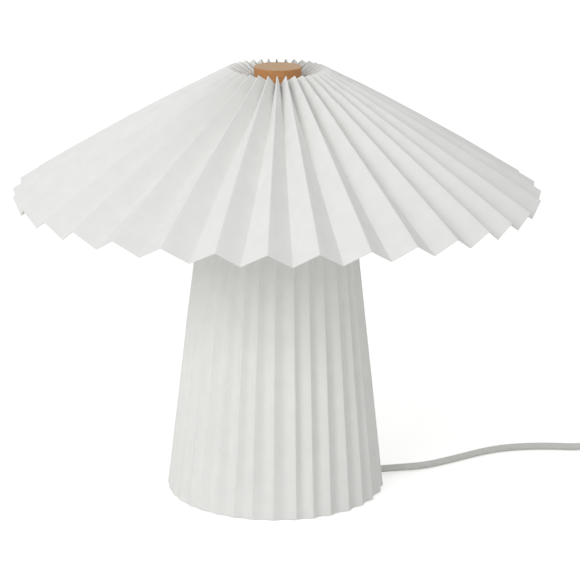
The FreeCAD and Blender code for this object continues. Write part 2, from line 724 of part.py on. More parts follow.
def centre_contact():
    """A sprung leaf, arched up from the core to touch the bulb's tip."""
    low, top = CORE_TOP + SEAT, TIP_Z - SEAT
    across = V(0, -LEAF_WIDTH / 2, 0)
    outer = [V(-LEAF_HALF, 0, low), V(0, 0, top), V(LEAF_HALF, 0, low)]
    inner = [V(LEAF_HALF - LEAF_THICK, 0, low), V(0, 0, top - LEAF_THICK),
             V(LEAF_THICK - LEAF_HALF, 0, low)]
    edges = [Part.Arc(*outer).toShape(), Part.LineSegment(outer[2], inner[0]).toShape(),
             Part.Arc(*inner).toShape(), Part.LineSegment(inner[2], outer[0]).toShape()]
    leaf = Part.Face(Part.Wire(edges)).extrude(V(0, LEAF_WIDTH, 0))
    return moved(leaf, across)


def terminal_screws():
    """Two slotted screws in the core's underside."""
    screws = []
    head = CORE_Z - TERMINAL_HEAD
    for side in (-1, 1):
        x = side * TERMINAL_AT
        screw = cylinder(TERMINAL_RADIUS, head, CORE_Z + TERMINAL_DEPTH - SEAT, x)
        slot = block(x - TERMINAL_RADIUS - OVER, x + TERMINAL_RADIUS + OVER, -SLOT_WIDTH / 2,
                     SLOT_WIDTH / 2, head - OVER, head + SLOT_DEPTH)
        screws.append(screw.cut(slot))
    return Part.makeCompound(screws)


def lead_wires():
    """The cord's two cores, from its stripped end to the terminals."""
    wires = []
    end_z = CORE_Z - TERMINAL_HEAD - SEAT
    for side in (-1, 1):
        start = V(side * LEAD_OFFSET, 0, CORD_TOP + SEAT)
        end = V(side * TERMINAL_AT, 0, end_z)
        edges, _ = rounded_path([start, start + V(0, 0, LEAD_RISE), end - V(0, 0, LEAD_END), end])
        wires.append(tube_along(edges, LEAD_RADIUS))
    return Part.makeCompound(wires)


# ---------------------------------------------------------------- bulb
def bulb_tip():
    return Part.makeCone(TIP_FACE_RADIUS, TIP_RADIUS, TIP_HEIGHT, V(0, 0, TIP_Z), UP)


def bulb_insulator():
    return Part.makeCone(GLASS_FACE_RADIUS, GLASS_RADIUS, GLASS_HEIGHT, V(0, 0, TIP_Z + TIP_HEIGHT), UP)


def bulb_screw_cap():
    low, top = SCREW_CAP_Z, SCREW_CAP_Z + SCREW_CAP_HEIGHT
    inside = THREAD_RADIUS - SCREW_CAP_WALL
    lip = GLASS_RADIUS - SCREW_CAP_LIP
    return revolve([
        (GLASS_RADIUS, low), (THREAD_RADIUS, low + SCREW_CAP_SHOULDER), (THREAD_RADIUS, top),
        (inside, top), (inside, low + SCREW_CAP_SHOULDER + SCREW_CAP_WALL),
        (GLASS_RADIUS - SCREW_CAP_WALL, low + SCREW_CAP_WALL), (lip, low + SCREW_CAP_WALL), (lip, low)])


def bulb_collar():
    """Plastic neck between the metal cap and the globe."""
    spigot = THREAD_RADIUS - SCREW_CAP_WALL - SEAT
    ledge = COLLAR_RADIUS - COLLAR_STEP
    return revolve([
        (0, COLLAR_Z - COLLAR_SPIGOT), (spigot, COLLAR_Z - COLLAR_SPIGOT), (spigot, COLLAR_Z),
        (COLLAR_FOOT_RADIUS, COLLAR_Z), (COLLAR_WAIST_RADIUS, COLLAR_Z + COLLAR_WAIST),
        (COLLAR_RADIUS, COLLAR_TOP), (ledge, COLLAR_TOP), (ledge, COLLAR_TOP + COLLAR_STEP_HEIGHT),
        (0, COLLAR_TOP + COLLAR_STEP_HEIGHT)])


def bulb_globe():
    """Hollow opal globe, open where it sits on the collar."""
    centre = V(0, 0, GLOBE_CENTRE_Z)
    outer = Part.makeSphere(GLOBE_RADIUS, centre)
    inner = Part.makeSphere(GLOBE_RADIUS - GLOBE_WALL, centre)
    below = cylinder(GLOBE_RADIUS + OVER, GLOBE_CENTRE_Z - GLOBE_RADIUS - OVER, GLOBE_Z)
    return outer.cut(inner).cut(below)


# ---------------------------------------------------------------- free cord
def floor_point(x, y, lift=0.0):
    return V(x, y, CORD_Z + lift)


# The free stretch from the lamp to the switch, chosen by hand.
TO_SWITCH = [
    bearing(EXIT_RADIUS, EXIT_BEARING, EXIT_Z),
    bearing(EXIT_RADIUS + 15.0, EXIT_BEARING, EXIT_Z),
    floor_point(123.5, 34.0, 0.1),
    floor_point(148.0, 50.5),
    floor_point(183.5, 76.8),
    floor_point(211.5, 84.8),
    floor_point(237.0, 86.0),
    floor_point(257.0, 83.6),
    V(271.5, 81.2, SWITCH_CORD_Z),
    V(283.0, 80.0, SWITCH_CORD_Z)]
SWITCH_HEADING = -5.957    # the last run's direction, degrees from +X

SWITCH_START = TO_SWITCH[-1]
SWITCH_END = SWITCH_START + bearing(SWITCH_LENGTH, SWITCH_HEADING, 0)

# From the switch round to the coil, as steps from the switch's far end.
TO_COIL = [
    SWITCH_END,
    SWITCH_END + bearing(15.0, SWITCH_HEADING, 0),
    V(SWITCH_END.x + 34.0, SWITCH_END.y - 12.6, CORD_Z + 0.8),
    floor_point(SWITCH_END.x + 46.2, SWITCH_END.y - 35.4),
    floor_point(SWITCH_END.x + 46.2, SWITCH_END.y - 59.5)]

COIL_START = TO_COIL[-1]
COIL_STEP = COIL_PITCH / 2


def coil_half_turn(start, side, radius):
    """A flat half turn: from the east end by the south (side 1), or from the west end
    by the north (side -1)."""
    centre = start - V(side * radius, 0, 0)
    middle = centre - V(0, side * radius, 0)
    end = centre - V(side * radius, 0, 0)
    return [Part.Arc(start, middle, end).toShape()], end


def coil_climb(start, radius):
    """The half turn by the north that rises to the upper layer, as two quarter arcs."""
    centre = start + V(radius, 0, COIL_LIFT / 2)
    reach = math.hypot(radius, COIL_LIFT / 2)
    end = centre + V(radius, 0, COIL_LIFT / 2)
    peak = centre + V(0, reach, 0)
    edges = []
    for first, last in ((start, peak), (peak, end)):
        halfway = ((first - centre) + (last - centre)).normalize() * reach
        edges.append(Part.Arc(first, centre + halfway, last).toShape())
    return edges, end


def coil_edges():
    """Inwards on the table, up at the innermost half turn, and outwards on top."""
    place = COIL_START - V(0, CORD_DIAMETER, 0)
    edges = [Part.LineSegment(COIL_START, place).toShape()]
    radius, side = COIL_RADIUS, 1
    for _ in range(COIL_IN):
        more, place = coil_half_turn(place, side, radius)
        edges += more
        radius -= COIL_STEP
        side = -side
    more, place = coil_climb(place, radius)
    edges += more
    side = -side
    for _ in range(COIL_OUT):
        radius += COIL_STEP
        more, place = coil_half_turn(place, side, radius)
        edges += more
        side = -side
    end = place - V(0, CORD_DIAMETER, 0)
    edges.append(Part.LineSegment(place, end).toShape())
    return edges, end


COIL_EDGES, COIL_END = coil_edges()
PLUG_Z = PLUG_HEIGHT / 2

# From the coil's upper end down to the table and forward to the plug.
TO_PLUG = [
    COIL_END,
    COIL_END + V(0, -17.0, 0),
    V(COIL_END.x - 2.0, COIL_END.y - 38.0, CORD_Z + 2.4),
    V(COIL_END.x - 8.5, COIL_END.y - 57.5, CORD_Z + 0.2),
    floor_point(COIL_END.x - 16.5, COIL_END.y - 76.5),
    floor_point(COIL_END.x - 21.5, COIL_END.y - 95.5, 0.4),
    V(COIL_END.x - 22.5, COIL_END.y - 112.0, PLUG_Z),
    V(COIL_END.x - 22.5, COIL_END.y - 126.0, PLUG_Z)]
PLUG_START = TO_PLUG[-1]
PLUG_HEADING = -90.0   # its pins point this way, degrees from +X


def coil_gap():
    """The least gap between strands that are not neighbours along the cord."""
    points = []
    for edge in COIL_EDGES:
        points += edge.discretize(Number=max(2, int(edge.Length / COIL_STEP_CHECKED)))[:-1]
    skip = int(COIL_NEIGHBOUR * CORD_DIAMETER / COIL_STEP_CHECKED)
    least = min((a - b).Length for index, a in enumerate(points) for b in points[index + skip:])
    return least - CORD_DIAMETER


def free_tube(name, points):
    edges, radii = rounded_path(points)
    shape = tube_along(edges, CORD_RADIUS)
    return shape, report_tube(name, shape, edges, radii)


def free_cord():
    """The free cord's solids, by name."""
    pieces, total = {}, 0.0
    for name, points in (("cord_to_switch", TO_SWITCH), ("cord_to_coil", TO_COIL),
                         ("cord_to_plug", TO_PLUG)):
        pieces[name], length = free_tube(name, points)
        total += length
    coil = tube_along(COIL_EDGES, CORD_RADIUS)
    total += report_tube("cord_coil", coil, COIL_EDGES, [COIL_RADIUS])
    pieces["cord_coil"] = coil
    print("least gap between the coil's turns %.2f" % coil_gap())
    print("cord from the lamp to the plug, with the switch %.1f" % (total + SWITCH_LENGTH))
    return pieces


# ---------------------------------------------------------------- in-line switch
def along_cord(shape):
    """Move a shape made from x = 0 to the switch's place."""
    return moved(turned(shape, SWITCH_HEADING), V(SWITCH_START.x, SWITCH_START.y, 0))


def mirrored(points):
    """A closed outline from its half on the +Y side, given from one end to the other."""
    return points + [V(point.x, -point.y, point.z) for point in reversed(points)]


def switch_outline(inset, low, high):
    """A long rounded body that narrows towards the cord at both ends."""
    half, neck = SWITCH_WIDTH / 2 - inset, SWITCH_NECK / 2 - inset
    corners = mirrored([V(inset, neck, low), V(SWITCH_SHOULDER, half, low),
                        V(SWITCH_LENGTH - SWITCH_SHOULDER, half, low),
                        V(SWITCH_LENGTH - inset, neck, low)])
    solid = Part.Face(Part.makePolygon(corners + corners[:1])).extrude(V(0, 0, high - low))
    upright = [edge for edge in solid.Edges
               if abs(edge.Vertexes[0].Z - edge.Vertexes[-1].Z) > (high - low) / 2]
    return solid.makeFillet(SWITCH_CORNER - inset, upright)


def switch_screw_places():
    return [V(SWITCH_LENGTH / 2 + side * SCREW_AT, 0, 0) for side in (-1, 1)]


def switch_lower():
    """Tray with two screw pillars, open at the top."""
    lower = switch_outline(0, 0, SWITCH_LOWER)
    lower = lower.cut(switch_outline(SWITCH_WALL, SWITCH_WALL, SWITCH_LOWER + OVER))
    for place in switch_screw_places():
        lower = lower.fuse(cylinder(SCREW_BOSS, SWITCH_WALL / 2, SWITCH_LOWER, place.x, place.y))
        lower = lower.cut(cylinder(SCREW_HOLE, -OVER, SWITCH_LOWER + OVER, place.x, place.y))
        lower = lower.cut(cylinder(SCREW_HEAD + SEAT, -OVER, SCREW_HEAD_DEPTH, place.x, place.y))
    return along_cord(lower)


def switch_upper():
    """Cover with a framed opening for the rocker, which turns on pins in its sides."""
    low, high = SWITCH_LOWER + SEAT, SWITCH_LOWER + SWITCH_UPPER
    roof = high - SWITCH_WALL / 2
    middle = SWITCH_LENGTH / 2
    half_width, reach = ROCKER_WIDTH / 2 + FREE, ROCKER_LENGTH / 2 + ROCKER_GAP
    frame_width, frame_reach = half_width + ROCKER_FRAME_SIDE, reach + ROCKER_FRAME
    upper = switch_outline(0, low, high)
    rim = [edge for edge in upper.Edges if min(v.Z for v in edge.Vertexes) > high - TOUCH]
    upper = upper.makeFillet(SWITCH_TOP_EASE, rim)
    upper = upper.cut(switch_outline(SWITCH_WALL, low - OVER, high - SWITCH_WALL))
    upper = upper.fuse(block(middle - frame_reach, middle + frame_reach, -frame_width, frame_width,
                             low, roof))
    upper = upper.cut(block(middle - reach, middle + reach, -half_width, half_width,
                            low - OVER, high + OVER))
    for place in switch_screw_places():
        upper = upper.fuse(cylinder(SCREW_BOSS, low, roof, place.x, place.y))
        upper = upper.cut(cylinder(SCREW_RADIUS + SEAT, low - OVER, low + SCREW_GRIP + SEAT,
                                   place.x, place.y))
    bore = Part.makeCylinder(ROCKER_PIN + RUNNING, 2 * (frame_width + OVER),
                             V(middle, -frame_width - OVER, ROCKER_PIVOT_Z), V(0, 1, 0))
    return along_cord(upper.cut(bore))


def switch_rocker():
    """A rocker with a shallow hollow along its top, resting tilted to "off"."""
    middle, pivot = SWITCH_LENGTH / 2, ROCKER_PIVOT_Z
    half = ROCKER_LENGTH / 2
    top = SWITCH_LOWER + SWITCH_UPPER + ROCKER_PROUD
    foot = pivot - ROCKER_SKIRT
    corners = [V(middle + half, 0, top), V(middle + half - ROCKER_TAPER, 0, foot),
               V(middle + ROCKER_KEEL, 0, pivot - ROCKER_KEEL),
               V(middle - ROCKER_KEEL, 0, pivot - ROCKER_KEEL),
               V(middle - half + ROCKER_TAPER, 0, foot), V(middle - half, 0, top)]
    hollow = Part.Arc(corners[-1], V(middle, 0, top - ROCKER_HOLLOW), corners[0])
    edges = [Part.LineSegment(a, b).toShape() for a, b in zip(corners, corners[1:])]
    rocker = Part.Face(Part.Wire(edges + [hollow.toShape()])).extrude(V(0, ROCKER_WIDTH, 0))
    rocker = moved(rocker, V(0, -ROCKER_WIDTH / 2, 0))
    pin_reach = ROCKER_WIDTH / 2 + FREE + ROCKER_PIN_GRIP
    pin = Part.makeCylinder(ROCKER_PIN, 2 * pin_reach, V(middle, -pin_reach, pivot), V(0, 1, 0))
    rocker = turned(rocker.fuse(pin), -ROCKER_TILT, V(middle, 0, pivot), V(0, 1, 0))
    return along_cord(rocker)


def switch_screws():
    """Two screws with crossed slots, put in from below."""
    screws = []
    slot_top, half = SCREW_SINK + SLOT_DEPTH, SLOT_WIDTH / 2
    for place in switch_screw_places():
        screw = cylinder(SCREW_HEAD, SCREW_SINK, SCREW_HEAD_DEPTH - SEAT, place.x, place.y)
        screw = screw.fuse(cylinder(SCREW_RADIUS, SCREW_SINK, SWITCH_LOWER + SCREW_GRIP, place.x, place.y))
        for reach_x, reach_y in ((CROSS_REACH, half), (half, CROSS_REACH)):
            screw = screw.cut(block(place.x - reach_x, place.x + reach_x,
                                    place.y - reach_y, place.y + reach_y, 0, slot_top))
        screws.append(along_cord(screw))
    return Part.makeCompound(screws)


# ---------------------------------------------------------------- plug
def plug_section(x, half_width, half_height):
    """A rounded rectangle across the plug, at a distance from the cord's end."""
    corner = min(PLUG_CORNER, half_height - PLUG_FLAT)
    flat_y, flat_z = half_width - corner, half_height - corner
    edges = []
    signs = ((1, 1), (-1, 1), (-1, -1), (1, -1))
    for index, (side, level) in enumerate(signs):
        next_side, next_level = signs[(index + 1) % 4]
        centre = V(x, side * flat_y, level * flat_z)
        across, up = V(0, side * corner, 0), V(0, 0, level * corner)
        bend = (across + up).normalize() * corner
        first, last = (across, up) if side == level else (up, across)
        edges.append(Part.Arc(centre + first, centre + bend, centre + last).toShape())
        following = V(x, next_side * flat_y, next_level * flat_z)
        edges.append(Part.LineSegment(centre + last, following + last).toShape())
    return Part.Wire(edges)


def at_plug(shape):
    """Turn a shape made along +X from the cord's end to the plug's heading and place."""
    return moved(turned(shape, PLUG_HEADING), PLUG_START)


def plug_body():
    """A flat body that narrows into a plain tapered neck for the cord."""
    wide, high, neck = PLUG_WIDTH / 2, PLUG_HEIGHT / 2, PLUG_NECK_RADIUS
    shoulder = PLUG_NECK + PLUG_SHOULDER
    sections = [plug_section(0, PLUG_NECK_TIP, PLUG_NECK_TIP),
                plug_section(PLUG_NECK, neck, neck),
                plug_section(shoulder, PLUG_SHOULDER_WIDTH / 2, (neck + high) / 2),
                plug_section(shoulder + PLUG_SHOULDER, wide, high),
                plug_section(PLUG_NECK + PLUG_BODY, wide - PLUG_DRAFT, high - PLUG_DRAFT)]
    return at_plug(Part.makeLoft(sections, True, True))


def pin_starts():
    x = PLUG_NECK + PLUG_BODY
    return [V(x + SEAT, side * PIN_SPACING / 2, 0) for side in (-1, 1)]


def plug_pins():
    pins = []
    for start in pin_starts():
        core = Part.makeCylinder(PIN_RADIUS - PIN_SLEEVE_WALL - SEAT, PIN_SLEEVE + OVER,
                                 start, V(1, 0, 0))
        bare = Part.makeCylinder(PIN_RADIUS, PIN_LENGTH - PIN_SLEEVE - SEAT,
                                 start + V(PIN_SLEEVE + SEAT, 0, 0), V(1, 0, 0))
        tip = [edge for edge in bare.Edges if edge.CenterOfMass.x > start.x + PIN_LENGTH - TOUCH]
        pins.append(at_plug(core.fuse(bare.makeFillet(PIN_TIP, tip[:1]))))
    return Part.makeCompound(pins)


def pin_sleeves():
    sleeves = []
    for start in pin_starts():
        outer = Part.makeCylinder(PIN_RADIUS, PIN_SLEEVE, start, V(1, 0, 0))
        inner = Part.makeCylinder(PIN_RADIUS - PIN_SLEEVE_WALL, PIN_SLEEVE, start, V(1, 0, 0))
        sleeves.append(at_plug(outer.cut(inner)))
    return Part.makeCompound(sleeves)


# ---------------------------------------------------------------- write the parts
PIECES = (
    foot_pad, base_weight, skirt_frame, skirt_paper, strain_relief, base_cord,
    threaded_rod, stem_tube, stem_washer, stem_nut,
    bow_saddle, shade_bow, bow_sleeves, bow_stud,
    holder_cap, holder_shell, holder_core, screw_sleeve, centre_contact, terminal_screws, lead_wires,
    bulb_tip, bulb_insulator, bulb_screw_cap, bulb_collar, bulb_globe,
    shade_paper, shade_carrier, knob_insert, wooden_knob,
    switch_lower, switch_upper, switch_rocker, switch_screws,
    plug_body, plug_pins, pin_sleeves)

shapes = {piece.__name__: piece() for piece in PIECES}
shapes.update(free_cord())

os.makedirs("parts", exist_ok=True)
for name, shape in shapes.items():
    if not shape.isValid():
        print("not valid: " + name)
    shape.exportStep("parts/%s.step" % name)
print("%d parts written" % len(shapes))
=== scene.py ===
"""Pleated paper table lamp: its looks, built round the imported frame.

Units are metres. +Z is up, the origin is on the table at the centre of the base, and the
front of the lamp looks along -Y. "Angle" is measured from the front towards +X.
"""

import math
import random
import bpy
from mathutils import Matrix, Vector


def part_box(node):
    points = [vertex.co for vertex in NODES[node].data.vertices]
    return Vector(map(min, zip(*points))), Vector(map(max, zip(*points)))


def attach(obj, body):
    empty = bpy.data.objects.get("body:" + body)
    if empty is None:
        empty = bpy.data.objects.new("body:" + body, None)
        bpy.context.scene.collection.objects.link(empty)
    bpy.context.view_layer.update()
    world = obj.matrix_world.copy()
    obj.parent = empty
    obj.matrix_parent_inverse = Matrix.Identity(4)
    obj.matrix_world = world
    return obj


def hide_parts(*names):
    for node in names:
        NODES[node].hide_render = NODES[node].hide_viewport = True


bl_info = {
    "name": "Pleated Paper Table Lamp",
    "version": (1, 0, 0),
    "blender": (4, 5, 0),
    "location": "View3D > Sidebar > Paper Lamp",
    "description": "Dresses the lamp's frame with pleated paper, cord, threads and finishes",
    "category": "Object",
}

import bmesh
import bpy
import numpy as np
from bpy.props import FloatProperty, FloatVectorProperty, IntProperty, PointerProperty
from mathutils import Matrix, Vector

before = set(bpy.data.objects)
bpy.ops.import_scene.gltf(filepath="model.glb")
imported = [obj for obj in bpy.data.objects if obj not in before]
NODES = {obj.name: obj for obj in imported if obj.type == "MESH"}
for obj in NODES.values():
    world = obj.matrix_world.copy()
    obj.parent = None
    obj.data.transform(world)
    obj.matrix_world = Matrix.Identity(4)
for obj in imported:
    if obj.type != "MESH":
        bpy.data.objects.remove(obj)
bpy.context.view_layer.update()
MM = 0.001
NEAR = 0.01 * MM       # places closer than this count as one
ORIGIN = (0.0, 0.0, 0.0)
SMOOTH_LIMIT = math.radians(40)     # edges sharper than this stay sharp in the shading

# The free cord's route, given point by point.
CORD_EXIT = (0.08442, 0.02105, 0.0046)
CORD_Z = 0.00305       # the cord's middle, where it lies on the table
TO_SWITCH = [CORD_EXIT, (0.09897, 0.02468, 0.0046), (0.1235, 0.0340, 0.00315),
             (0.1480, 0.0505, CORD_Z), (0.1835, 0.0768, CORD_Z), (0.2115, 0.0848, CORD_Z),
             (0.2370, 0.0860, CORD_Z), (0.2570, 0.0836, CORD_Z), (0.2715, 0.0812, 0.0060),
             (0.2830, 0.0800, 0.0060)]
IN_SWITCH = [(0.3000, 0.07823, 0.0048), (0.3280, 0.07531, 0.0048)]
TO_COIL = [(0.34467, 0.07357, 0.0060), (0.35958, 0.07201, 0.0060),
           (0.37867, 0.06097, 0.00385), (0.39087, 0.03817, CORD_Z), (0.39087, 0.01407, CORD_Z)]
TO_PLUG = [(0.39087, 0.00207, 0.0095), (0.39087, -0.01493, 0.0095),
           (0.38887, -0.03593, 0.00545), (0.38237, -0.05543, 0.00325),
           (0.37437, -0.07443, CORD_Z), (0.36937, -0.09343, 0.00345),
           (0.36837, -0.10993, 0.00685), (0.36837, -0.12393, 0.00685)]

# Its coil: half turns inwards on the table, one that climbs, and half turns outwards on top.
COIL_EAST = (0.39087, 0.00807)
COIL_RADII = (0.0405, 0.03725, 0.0340, 0.03075, 0.0275)
CLIMB_RADIUS = 0.02425
COIL_TOP_RADII = (0.0275, 0.03075, 0.0340, 0.03725, 0.0405, 0.04375)
COIL_TOP_Z = 0.0095
POINTS_PER_HALF_TURN = 8

# How far single folds stray from even spacing, in degrees: (fold, stray), counted from the
# front fold towards +X, outer folds even and inner ones odd. Between them, and round the
# back, the strays run evenly. The leans are how much further a fold has turned at the top.
SHADE_STRAYS = ((-13, -5.5), (-12, -4.4), (-11, -4.0), (-10, -3.0), (-9, -2.6), (-8, -2.8),
                (-7, -2.2), (-6, -2.1), (-5, -1.4), (-4, -1.1), (-3, -0.5), (-2, 0.0),
                (-1, -0.2), (0, 0.1), (1, 0.0), (2, 0.1), (3, 0.0), (4, 0.3), (5, 0.0),
                (6, 0.2), (7, 0.0), (8, 0.0), (9, -0.3), (10, -0.8), (11, -1.1), (12, -2.3),
                (13, -2.1), (14, -2.6), (15, -1.8))
SHADE_LEAN = ((-2, 0.0), (-1, 2.5), (0, 0.0))
SKIRT_STRAYS = ((-4, -0.9), (-2, -1.3), (0, -0.2), (2, 1.8), (4, 0.8), (6, 0.8), (8, 2.7),
                (10, 3.7), (12, 3.9), (14, 7.2))
SKIRT_LEAN = ((0, 0.0), (2, 0.6), (4, 2.7), (6, 4.6), (12, 4.6), (20, 0.0))


# ---------------------------------------------------------------- small tools
def linear(hex_colour):
    """A colour written in sRGB hex, as the linear values that a shader takes."""
    parts = [int(hex_colour[i:i + 2], 16) / 255 for i in (1, 3, 5)]
    return [c / 12.92 if c <= 0.04045 else ((c + 0.055) / 1.055) ** 2.4 for c in parts]


def nothing_chosen():
    """Go back to object mode with nothing selected."""
    if bpy.context.mode != 'OBJECT':
        bpy.ops.object.mode_set(mode='OBJECT')
    bpy.ops.object.select_all(action='DESELECT')


def only(piece):
    """Make this piece the only one that operators act on."""
    nothing_chosen()
    piece.select_set(True)
    bpy.context.view_layer.objects.active = piece


def added(name):
    """Name the primitive just added, and put its place into its mesh."""
    piece = bpy.context.active_object
    piece.name = name
    piece.data.name = name
    only(piece)
    bpy.ops.object.transform_apply(location=True, rotation=True, scale=True)
    return piece


def choose(piece, kind, test):
    """In edit mode, select only the vertices, edges or faces that pass a test."""
    bpy.ops.mesh.select_mode(type=kind)
    bpy.ops.mesh.select_all(action='DESELECT')
    shape = bmesh.from_edit_mesh(piece.data)
    for item in {'VERT': shape.verts, 'EDGE': shape.edges, 'FACE': shape.faces}[kind]:
        if test(item):
            item.select_set(True)
    shape.select_flush_mode()
    bmesh.update_edit_mesh(piece.data)


def apply_modifier(piece, kind, **settings):
    """Add a modifier, set it and apply it."""
    only(piece)
    modifier = piece.modifiers.new(kind.lower(), kind)
    for name, value in settings.items():
        setattr(modifier, name, value)
    bpy.ops.object.modifier_apply(modifier=modifier.name)


def hand_over(piece, body, slot, *replaced):
    """Hand a finished piece to the frame."""
    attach(piece, body)
    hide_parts(*replaced)


# ---------------------------------------------------------------- finishes
def link_up(tree, node, outputs):
    """Link outputs to a node's inputs: {input: output}."""
    for socket, output in outputs.items():
        tree.links.new(output, node.inputs[socket])


def add_node(tree, kind, values=None, links=None, **settings):
    """Add a shader node, set its options and sockets, and link its inputs."""
    node = tree.nodes.new(kind)
    for name, value in settings.items():
        setattr(node, name, value)
    for socket, value in (values or {}).items():
        node.inputs[socket].default_value = value
    link_up(tree, node, links or {})
    return node


def work_out(tree, operation, first, second):
    """One operation on two terms, each of them an output or a plain number."""
    terms = {0: first, 1: second}
    numbers = {i: term for i, term in terms.items() if isinstance(term, (int, float))}
    outputs = {i: term for i, term in terms.items() if i not in numbers}
    return add_node(tree, "ShaderNodeMath", numbers, outputs,
                    operation=operation).outputs["Value"]


def noise(tree, place, grain_mm, detail, **more):
    """Soft noise with grains of a real size."""
    return add_node(tree, "ShaderNodeTexNoise",
                    {"Scale": 1 / (grain_mm * MM), "Detail": detail, **more},
                    {"Vector": place}).outputs["Fac"]


def stretched(tree, place, scale):
    """Coordinates drawn out along an axis whose scale is below 1."""
    return add_node(tree, "ShaderNodeMapping", {"Scale": scale},
                    {"Vector": place}).outputs["Vector"]


def multiplied(tree, colour, other):
    """Two colours multiplied. Inputs 6 and 7 and output 2 are the node's colour sockets."""
    return add_node(tree, "ShaderNodeMix", {0: 1.0}, {6: colour, 7: other},
                    data_type='RGBA', blend_type='MULTIPLY').outputs[2]


def relief(tree, height, relief_mm):
    """Relief of a real height."""
    return add_node(tree, "ShaderNodeBump", {"Strength": 1.0, "Distance": relief_mm * MM},
                    {"Height": height}).outputs["Normal"]


def start_finish(name, colour, roughness, sockets):
    """A material with its main shader set, and the piece's own coordinates."""
    material = bpy.data.materials.new(name)
    material.use_nodes = True
    tree = material.node_tree
    shader = tree.nodes["Principled BSDF"]
    shader.inputs["Base Color"].default_value = [*colour[:3], 1.0]
    shader.inputs["Roughness"].default_value = roughness
    for socket, value in sockets.items():
        shader.inputs[socket].default_value = value
    place = add_node(tree, "ShaderNodeTexCoord").outputs["Object"]
    return material, tree, shader, place


def ramp_between(tree, factor, stops):
    """Colours along a factor: (position, colour) stops."""
    ramp = add_node(tree, "ShaderNodeValToRGB", links={"Fac": factor})
    line = ramp.color_ramp
    while len(line.elements) < len(stops):
        line.elements.new(0.5)
    for element, (position, colour) in zip(line.elements, stops):
        element.position = position
        element.color = [*colour[:3], 1.0]
    return ramp.outputs["Color"]


def shade_of(colour, share):
    """The colour made lighter or darker by a share."""
    return [min(1.0, c * share) for c in colour[:3]]


def make_finish(name, colour, roughness, grain_mm, relief_mm, tint=0.04, wear=0.05,
                **sockets):
    """A finish whose tint, gloss and relief vary over grains of a real size."""
    material, tree, shader, place = start_finish(name, colour, roughness, sockets)
    grain = noise(tree, place, grain_mm, 3.0, Roughness=0.55)
    tinted = ramp_between(tree, grain, [(0.3, shade_of(colour, 1 - tint)),
                                        (0.7, shade_of(colour, 1 + tint))])
    gloss = add_node(tree, "ShaderNodeMapRange",
                     {"To Min": max(0.02, roughness - wear),
                      "To Max": min(1.0, roughness + wear)},
                     {"Value": grain}).outputs["Result"]
    link_up(tree, shader, {"Base Color": tinted, "Roughness": gloss,
                           "Normal": relief(tree, grain, relief_mm)})
    return material


def make_paper(name, colour):
    """Lined lampshade paper: matt, nearly white, faintly clouded and fibrous."""
    material, tree, shader, place = start_finish(name, colour, 0.85,
                                                 {"Specular IOR Level": 0.25})
    cloud = noise(tree, place, 14, 2.0)
    # The fibres are about 0.3 mm wide; drawn 0.9 mm wide, so that they show.
    fibre = noise(tree, place, 0.9, 4.0)
    mean = work_out(tree, 'MULTIPLY', work_out(tree, 'ADD', cloud, fibre), 0.5)
    tinted = ramp_between(tree, mean, [(0.35, shade_of(colour, 0.975)),
                                       (0.65, shade_of(colour, 1.025))])
    link_up(tree, shader, {"Base Color": tinted, "Normal": relief(tree, fibre, 0.02)})
    return material


def make_wood(name, colour, shaded_side_colour):
    """Oiled beech, turned and sanded: fine straight grain along X, short dark flecks. The
    turned side is painted darker and redder than the flat top, as painted shade."""
    material, tree, shader, place = start_finish(name, colour, 0.5, {})
    # Growth lines about 1.1 mm apart, running along X and slightly wandering.
    along = stretched(tree, place, (0.09, 1.0, 0.35))
    lines = noise(tree, along, 1.1, 3.0, Distortion=0.3)
    flecks = noise(tree, along, 0.5, 1.0)
    tinted = ramp_between(tree, lines, [(0.28, shade_of(colour, 0.86)), (0.5, colour),
                                        (0.72, shade_of(colour, 1.10))])
    fleck = ramp_between(tree, flecks, [(0.32, (0.8, 0.74, 0.68)), (0.42, (1.0, 1.0, 1.0))])
    # Painted shade: the colour goes by the way that the surface faces, darker and redder on
    # the upright side than on the flat top. flat top or upright side.
    facing = add_node(tree, "ShaderNodeTexCoord").outputs["Normal"]
    facing = add_node(tree, "ShaderNodeSeparateXYZ", links={"Vector": facing}).outputs["Z"]
    # Painted shade: how much darker and redder the upright side is painted than the flat top.
    side_shade = [deep / flat for deep, flat in zip(shaded_side_colour, colour)]
    oiled_and_side_shaded = ramp_between(tree, facing, [(0.3, side_shade), (0.95, (1.0, 1.0, 1.0))])
    mixed = multiplied(tree, multiplied(tree, tinted, fleck), oiled_and_side_shaded)
    link_up(tree, shader, {"Base Color": mixed, "Normal": relief(tree, lines, 0.03)})
    return material


def finish_nodes(material, *names):
    """Give CAD nodes a material in place of the plain one that they came with."""
    for name in names:
        slots = NODES[name].material_slots
        if not slots:
            NODES[name].data.materials.append(material)
        for slot in slots:
            slot.material = material


# ---------------------------------------------------------------- sizes and colours
def length_prop(name, description, default):
    """A length in metres, with its real unit in the panel."""
    return FloatProperty(name=name, description=description, default=default, min=0.0,
                         subtype='DISTANCE', unit='LENGTH', precision=4)


def angle_prop(name, description, degrees):
    """An angle, given here in degrees."""
    return FloatProperty(name=name, description=description, default=math.radians(degrees),
                         subtype='ANGLE', unit='ROTATION')


def colour_prop(name, description, hex_colour):
    """A colour, given here in sRGB hex."""
    return FloatVectorProperty(name=name, description=description, subtype='COLOR', size=3,
                               default=linear(hex_colour), min=0.0, max=1.0)


